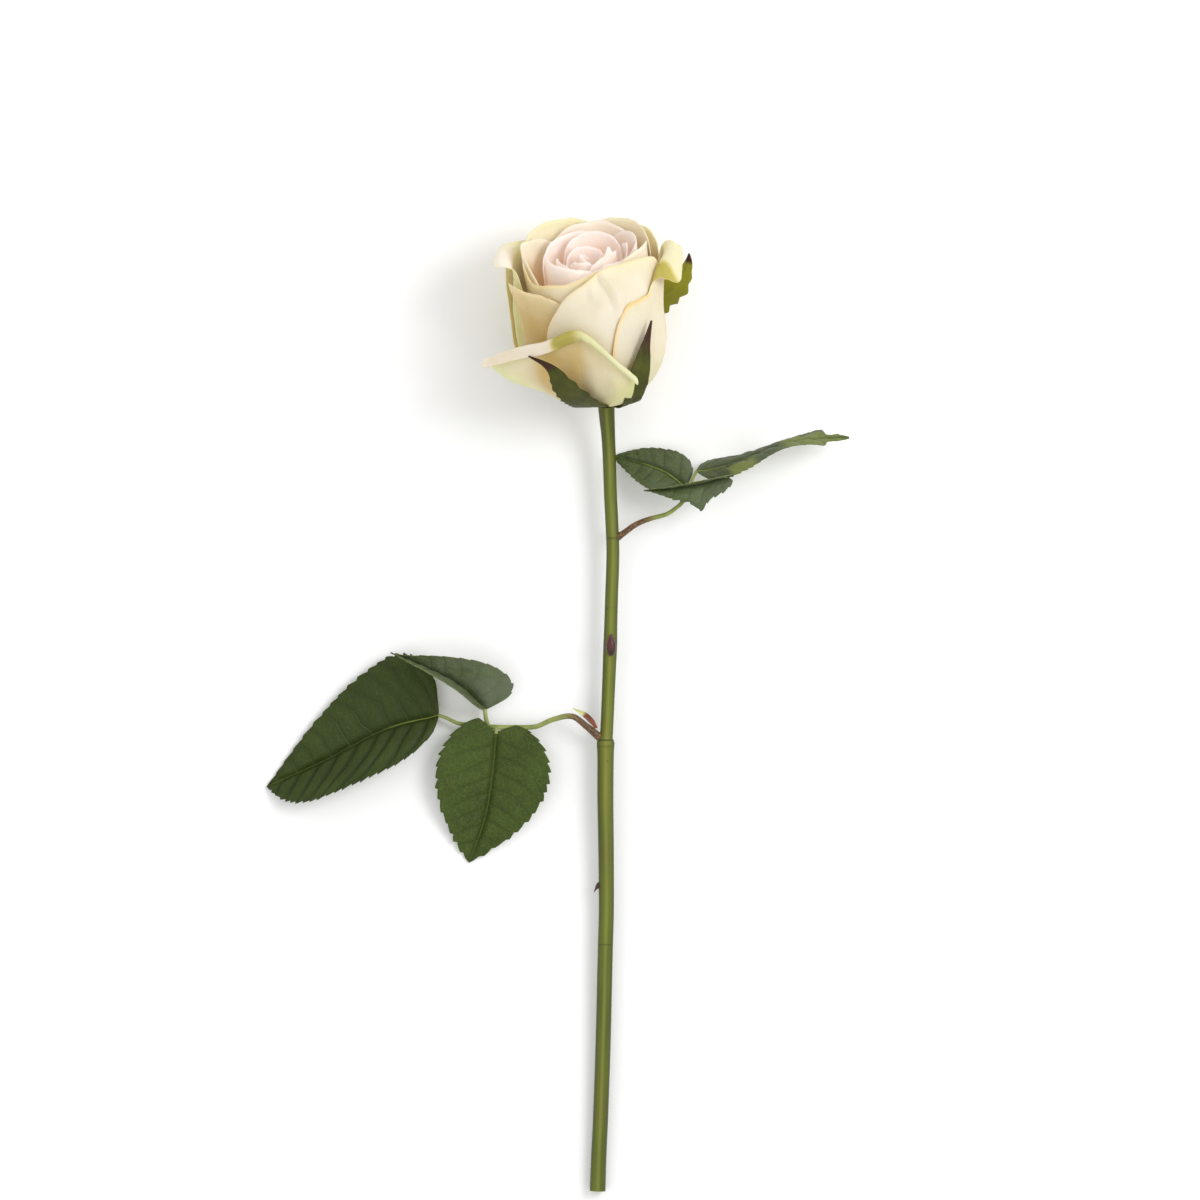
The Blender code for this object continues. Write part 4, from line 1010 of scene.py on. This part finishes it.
def leaflet(name, shape, materials, across=57, along=200):
    """A toothed leaf blade, puckered between its side veins, on a midrib that bends where it likes."""
    grid = np.zeros((along, across, 3))
    uv = np.zeros((along, across, 2))
    tone = np.zeros((along, across, 4))
    seed = sum(map(ord, name)) % 97
    back = shape.get("back", (0.0, 0.0))
    leans = shape.get("lean", (0.3, 0.3))
    widest = [np.linalg.norm(bent(shape[side], 0.4)) for side in ("one", "two")]
    for i in range(along):
        t = i / (along - 1)
        rib = bent(shape["rib"], t)
        toward = bent(shape["rib"], min(t + 0.02, 1.0)) - bent(shape["rib"], max(t - 0.02, 0.0))
        toward /= np.linalg.norm(toward)
        wide = through(shape.get("widths", LEAF_WIDTHS), t)
        sides = bent(shape["one"], t), bent(shape["two"], t)
        up = np.cross(sides[0] - sides[1], toward)
        up /= np.linalg.norm(up)
        if up[2] < 0:
            up = -up
        for j in range(across):
            s = 2.0 * j / (across - 1) - 1.0
            right = int(s > 0)
            half = widest[right]
            step = t * (shape["teeth"] + right) + 0.3 * wander(seed + right, 9.0 * t)
            size = shape["bite"] * (0.8 + 0.8 * wander(seed + 5 + right, math.floor(step) * 1.7))
            tooth = size * ((step % 1.0) ** 0.8 - 0.45) * abs(s) ** 9
            tooth *= ease(t / 0.08) * ease((1.0 - t) / 0.06)
            reach = abs(s) * wide + tooth / half
            if right and "corner" in shape:
                at, spread, more = shape["corner"]
                reach += more / half * abs(s) ** 2 * math.exp(-(((t - at) / spread) ** 2))
            sweep = back[right] * (1.0 - t) ** 3 * abs(s) ** 1.2 * min(1.0, 3.0 * wide)
            off = reach * half
            vein = (t * shape["length"] - leans[right] * off - 0.012 * off * off) / shape["veins"]
            vein += 0.35 * right
            vein += 0.25 * wander(seed + 8 + right, 0.1 * off, 6.0 * t)
            part = vein % 1.0
            quilt = math.sin(math.pi * part ** 1.4) ** 0.7
            puff = 0.09 * shape["veins"] * quilt * ease(off / 3.0) * ease((1.02 - abs(s)) / 0.45)
            puff *= shape.get("relief", 1.0) if right else 1.0
            groove = -1.2 * math.exp(-((off / 1.4) ** 2)) * ease((1.0 - t) / 0.3) * ease(t / 0.08)
            wave = 0.7 * wander(seed, 1.4 * s + 3.0, 3.2 * t) * abs(s) ** 1.5
            wave += 0.25 * wander(seed + 2, 5.0 * s, 11.0 * t)
            raised = puff + groove + wave * ease(t / 0.1)
            grid[i, j] = rib + sides[right] * reach - toward * sweep + up * raised
            grid[i, j, 2] = max(grid[i, j, 2], SURFACE_GAP)
            uv[i, j] = (math.copysign(off, s) * 0.1, vein)
            tone[i, j] = leaflet_tone(shape, seed, s, t, off, part)
    i, j = along // 2, across // 2
    if np.cross(grid[i, j + 4] - grid[i, j - 4], grid[i + 3, j] - grid[i, j])[2] < 0:
        materials = materials[::-1]
    return sheet_mesh(name, grid, LEAF_THICK, materials, uv, (tone, tone))


def stipule(name, material, along=60, across=13):
    """The narrow papery wing beside the left leaf stalk, hollow along its middle."""
    grid = np.zeros((along, across, 3))
    uv = np.zeros((along, across, 2))
    for i in range(along):
        t = i / (along - 1)
        one, two = bent(STIPULE_EDGES[0], t), bent(STIPULE_EDGES[1], t)
        for j in range(across):
            k = j / (across - 1)
            dip = -0.35 * math.sin(math.pi * k) * math.sin(math.pi * min(t + 0.1, 1.0))
            frill = 0.18 * wander(41, 5.0 * k, 14.0 * t) * ease((1.0 - t) / 0.2)
            grid[i, j] = one + (two - one) * k + np.array([0.0, 0.0, dip + frill])
            uv[i, j] = (k, t)
    return sheet_mesh(name, grid, STIPULE_THICK, [material], uv)


def tube_nodes():
    """Geometry nodes: a round tube along a line of points, each with its own girth."""
    tree = bpy.data.node_groups.new("grown_tube", "GeometryNodeTree")
    tree.interface.new_socket(name="Geometry", in_out="INPUT", socket_type="NodeSocketGeometry")
    sides = tree.interface.new_socket(name="Sides", in_out="INPUT", socket_type="NodeSocketInt")
    sides.default_value = 24
    skin = tree.interface.new_socket(name="Skin", in_out="INPUT", socket_type="NodeSocketMaterial")
    tree.interface.new_socket(name="Geometry", in_out="OUTPUT", socket_type="NodeSocketGeometry")
    nodes, links = tree.nodes, tree.links
    enter, leave = nodes.new("NodeGroupInput"), nodes.new("NodeGroupOutput")
    line = nodes.new("GeometryNodeMeshToCurve")
    girth = nodes.new("GeometryNodeInputNamedAttribute")
    girth.data_type = "FLOAT"
    girth.inputs["Name"].default_value = "girth"
    thick = nodes.new("GeometryNodeSetCurveRadius")
    ring = nodes.new("GeometryNodeCurvePrimitiveCircle")
    ring.inputs["Radius"].default_value = 1.0
    body = nodes.new("GeometryNodeCurveToMesh")
    body.inputs["Fill Caps"].default_value = True
    smooth = nodes.new("GeometryNodeSetShadeSmooth")
    real = nodes.new("GeometryNodeRealizeInstances")
    paint = nodes.new("GeometryNodeSetMaterial")
    links.new(enter.outputs["Geometry"], line.inputs[0])
    links.new(line.outputs[0], thick.inputs["Curve"])
    links.new(girth.outputs["Attribute"], thick.inputs["Radius"])
    links.new(enter.outputs["Sides"], ring.inputs["Resolution"])
    links.new(thick.outputs[0], body.inputs["Curve"])
    links.new(girth.outputs["Attribute"], body.inputs["Scale"])
    links.new(ring.outputs["Curve"], body.inputs["Profile Curve"])
    links.new(body.outputs[0], smooth.inputs["Geometry"])
    links.new(smooth.outputs[0], real.inputs[0])
    links.new(real.outputs[0], paint.inputs["Geometry"])
    links.new(enter.outputs["Skin"], paint.inputs["Material"])
    links.new(paint.outputs[0], leave.inputs[0])
    return tree, sides.identifier, skin.identifier


def grown_tube(name, runs, tree, sides, material, step, plump):
    """Tubes in one mesh, one for each list of (x, y, z, radius) stations. step is the gap between rings, and
    plump scales the girth. Its flank attribute says how far each point faces sideways."""
    points, girths, edges = [], [], []
    for stations in runs:
        first = len(points)
        span = np.array(stations)
        lengths = np.concatenate([[0.0], np.cumsum(np.linalg.norm(np.diff(span[:, :3], axis=0), axis=1))])
        count = max(int(lengths[-1] / step), 8)
        for k in range(count + 1):
            at = lengths[-1] * k / count
            values = [through(list(zip(lengths, span[:, axis])), at) for axis in range(4)]
            values[2] = max(values[2], values[3] * plump)
            points.append(tuple((np.array(values[:3]) + SHIFT) * MM))
            girths.append(values[3] * plump * MM)
        edges += [(k, k + 1) for k in range(first, len(points) - 1)]
    mesh = bpy.data.meshes.new(name)
    mesh.from_pydata(points, edges, [])
    mesh.attributes.new("girth", "FLOAT", "POINT").data.foreach_set("value", girths)
    obj = bpy.data.objects.new(name, mesh)
    bpy.context.scene.collection.objects.link(obj)
    group, sides_id, skin_id = tree
    modifier = obj.modifiers.new("grow", "NODES")
    modifier.node_group = group
    modifier[sides_id] = sides
    modifier[skin_id] = material
    bpy.context.view_layer.update()
    shown = obj.evaluated_get(bpy.context.evaluated_depsgraph_get())
    solid = bpy.data.meshes.new_from_object(shown)
    obj.modifiers.clear()
    obj.data = solid
    flank = [abs(v.normal.x) for v in solid.vertices]
    solid.attributes.new("flank", "FLOAT", "POINT").data.foreach_set("value", flank)
    return obj


def finish_piece(obj, node):
    """Puts a finished shape in its node's place on the one body."""
    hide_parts(node)
    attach(obj, "root")


# ---------------------------------------------------------------- build

mottle = mottle_group()
fibres = fibre_group()
veins = leaf_vein_group()
vein_pale = colour(122, 132, 72)
petal_cream = petal_material("petal_cream", mottle, fibres)
leaf_top = leaf_material("leaf_top", mottle, veins, colour(64, 80, 26), colour(124, 138, 58), vein_pale, 0.52)
leaf_underside = leaf_material("leaf_underside", mottle, veins, colour(116, 128, 66), colour(156, 164, 92),
                               vein_pale, 0.62)
sepal_skin = sepal_material("sepal_skin", mottle, fibres, colour(78, 81, 24))
stem_skin = stem_material("stem_skin", mottle, colour(104, 111, 28), colour(72, 82, 18), colour(94, 84, 34),
                          STEM_RINGS)
left_skin = stalk_material("left_stalk_skin", mottle, (-2.0, -15.5, 8.3))
right_skin = stalk_material("right_stalk_skin", mottle, (4.9, 67.0, 10.4))
seat_green = bark_material("seat_green", mottle, colour(96, 108, 44), colour(70, 82, 28), 0.6)
bud_maroon = bark_material("bud_maroon", mottle, colour(84, 30, 26), colour(44, 20, 16), 0.38)
thorn_brown = bark_material("thorn_brown", mottle, colour(74, 40, 26), colour(50, 30, 20), 0.5)
stipule_rust = bark_material("stipule_rust", mottle, colour(146, 84, 56), colour(104, 58, 38), 0.6,
                             colour(206, 204, 138))

for order, (name, shape) in enumerate(OUTER_PETALS.items()):
    finish_piece(petal(name + "_visual", shape, order, petal_cream), name)
for order, (name, (radius, turn, half, rim)) in enumerate(INNER_PETALS.items(), len(OUTER_PETALS)):
    shape = dict(radius=radius, turn=turn, half=half, rim=rim)
    finish_piece(petal(name + "_visual", shape, order, petal_cream, 45, 34), name)
for name, shape in SEPALS.items():
    finish_piece(sepal(name + "_visual", shape, sepal_skin), name)
for name, shape in LEAFLETS.items():
    finish_piece(leaflet(name + "_visual", shape, [leaf_top, leaf_underside]), name)

seat_runs = [[(*in_head(0.0, 0.0, height), radius) for radius, height in SEAT]]
# Node, slot, runs, sides, skin, gap between rings, plumpness
TUBES = [
    ("stem", "stem", [STEM], 40, stem_skin, 1.0, 1.09),
    ("left_leaf_stalk", "stem", [LEFT_STALK] + LEFT_TWIGS, 18, left_skin, 0.6, 1.35),
    ("right_leaf_stalk", "stem", [RIGHT_STALK] + RIGHT_TWIGS, 18, right_skin, 0.6, 1.2),
    ("receptacle", "sepal", seat_runs, 36, seat_green, 0.5, 1.0),
    ("axillary_bud", "bud", [BUD], 28, bud_maroon, 0.25, 1.0),
    ("thorn", "stem", [THORN], 20, thorn_brown, 0.15, 1.0),
]
tube_tree = tube_nodes()
for name, slot, runs, sides, skin, step, plump in TUBES:
    finish_piece(grown_tube(name + "_visual", runs, tube_tree, sides, skin, step, plump), name)
finish_piece(stipule("left_stipule_visual", stipule_rust), "left_stipule")

# ---------------------------------------------------------------- stage, light, camera

bpy.ops.mesh.primitive_plane_add(size=6.0, location=(0, 0, -0.0002))
floor = bpy.context.object
floor.name = "floor"
paper, paper_shader, _ = new_material("pale_floor")
paper_shader.inputs["Base Color"].default_value = (0.97, 0.97, 0.97, 1.0)
paper_shader.inputs["Roughness"].default_value = 0.9
floor.data.materials.append(paper)


def soft_light(name, place, target, size, power):
    """A round soft light that points at a target."""
    light = bpy.data.lights.new(name, "AREA")
    light.shape = "DISK"
    light.size = size
    light.energy = power
    lamp = bpy.data.objects.new(name, light)
    lamp.location = place
    lamp.rotation_euler = (Vector(target) - Vector(place)).to_track_quat("-Z", "Y").to_euler()
    bpy.context.scene.collection.objects.link(lamp)


soft_light("key_light", (0.75, 0.35, 0.95), (0.02, 0.1, 0.03), 0.6, 6.2)
soft_light("fill_light", (-0.9, -0.4, 1.2), (0.0, 0.0, 0.03), 1.2, 1.5)

world = bpy.data.worlds.new("studio")
bpy.context.scene.world = world
world.use_nodes = True
sky = next(n for n in world.node_tree.nodes if n.type == "BACKGROUND")
sky.inputs["Color"].default_value = (1.0, 1.0, 1.0, 1.0)
sky.inputs["Strength"].default_value = 0.86
bpy.context.scene.view_settings.view_transform = "Standard"

VIEW_WIDTH = 0.492  # what the camera takes in at the height of the stem
STEM_HEIGHT = 0.02
LENS = 200.0
SENSOR = 36.0
camera = bpy.data.cameras.new("camera")
camera.lens = LENS
camera.sensor_width = SENSOR
camera.clip_end = 50.0
eye = bpy.data.objects.new("camera", camera)
eye.location = (0.0177, 0.0437, VIEW_WIDTH * LENS / SENSOR + STEM_HEIGHT)
bpy.context.scene.collection.objects.link(eye)
bpy.context.scene.camera = eye
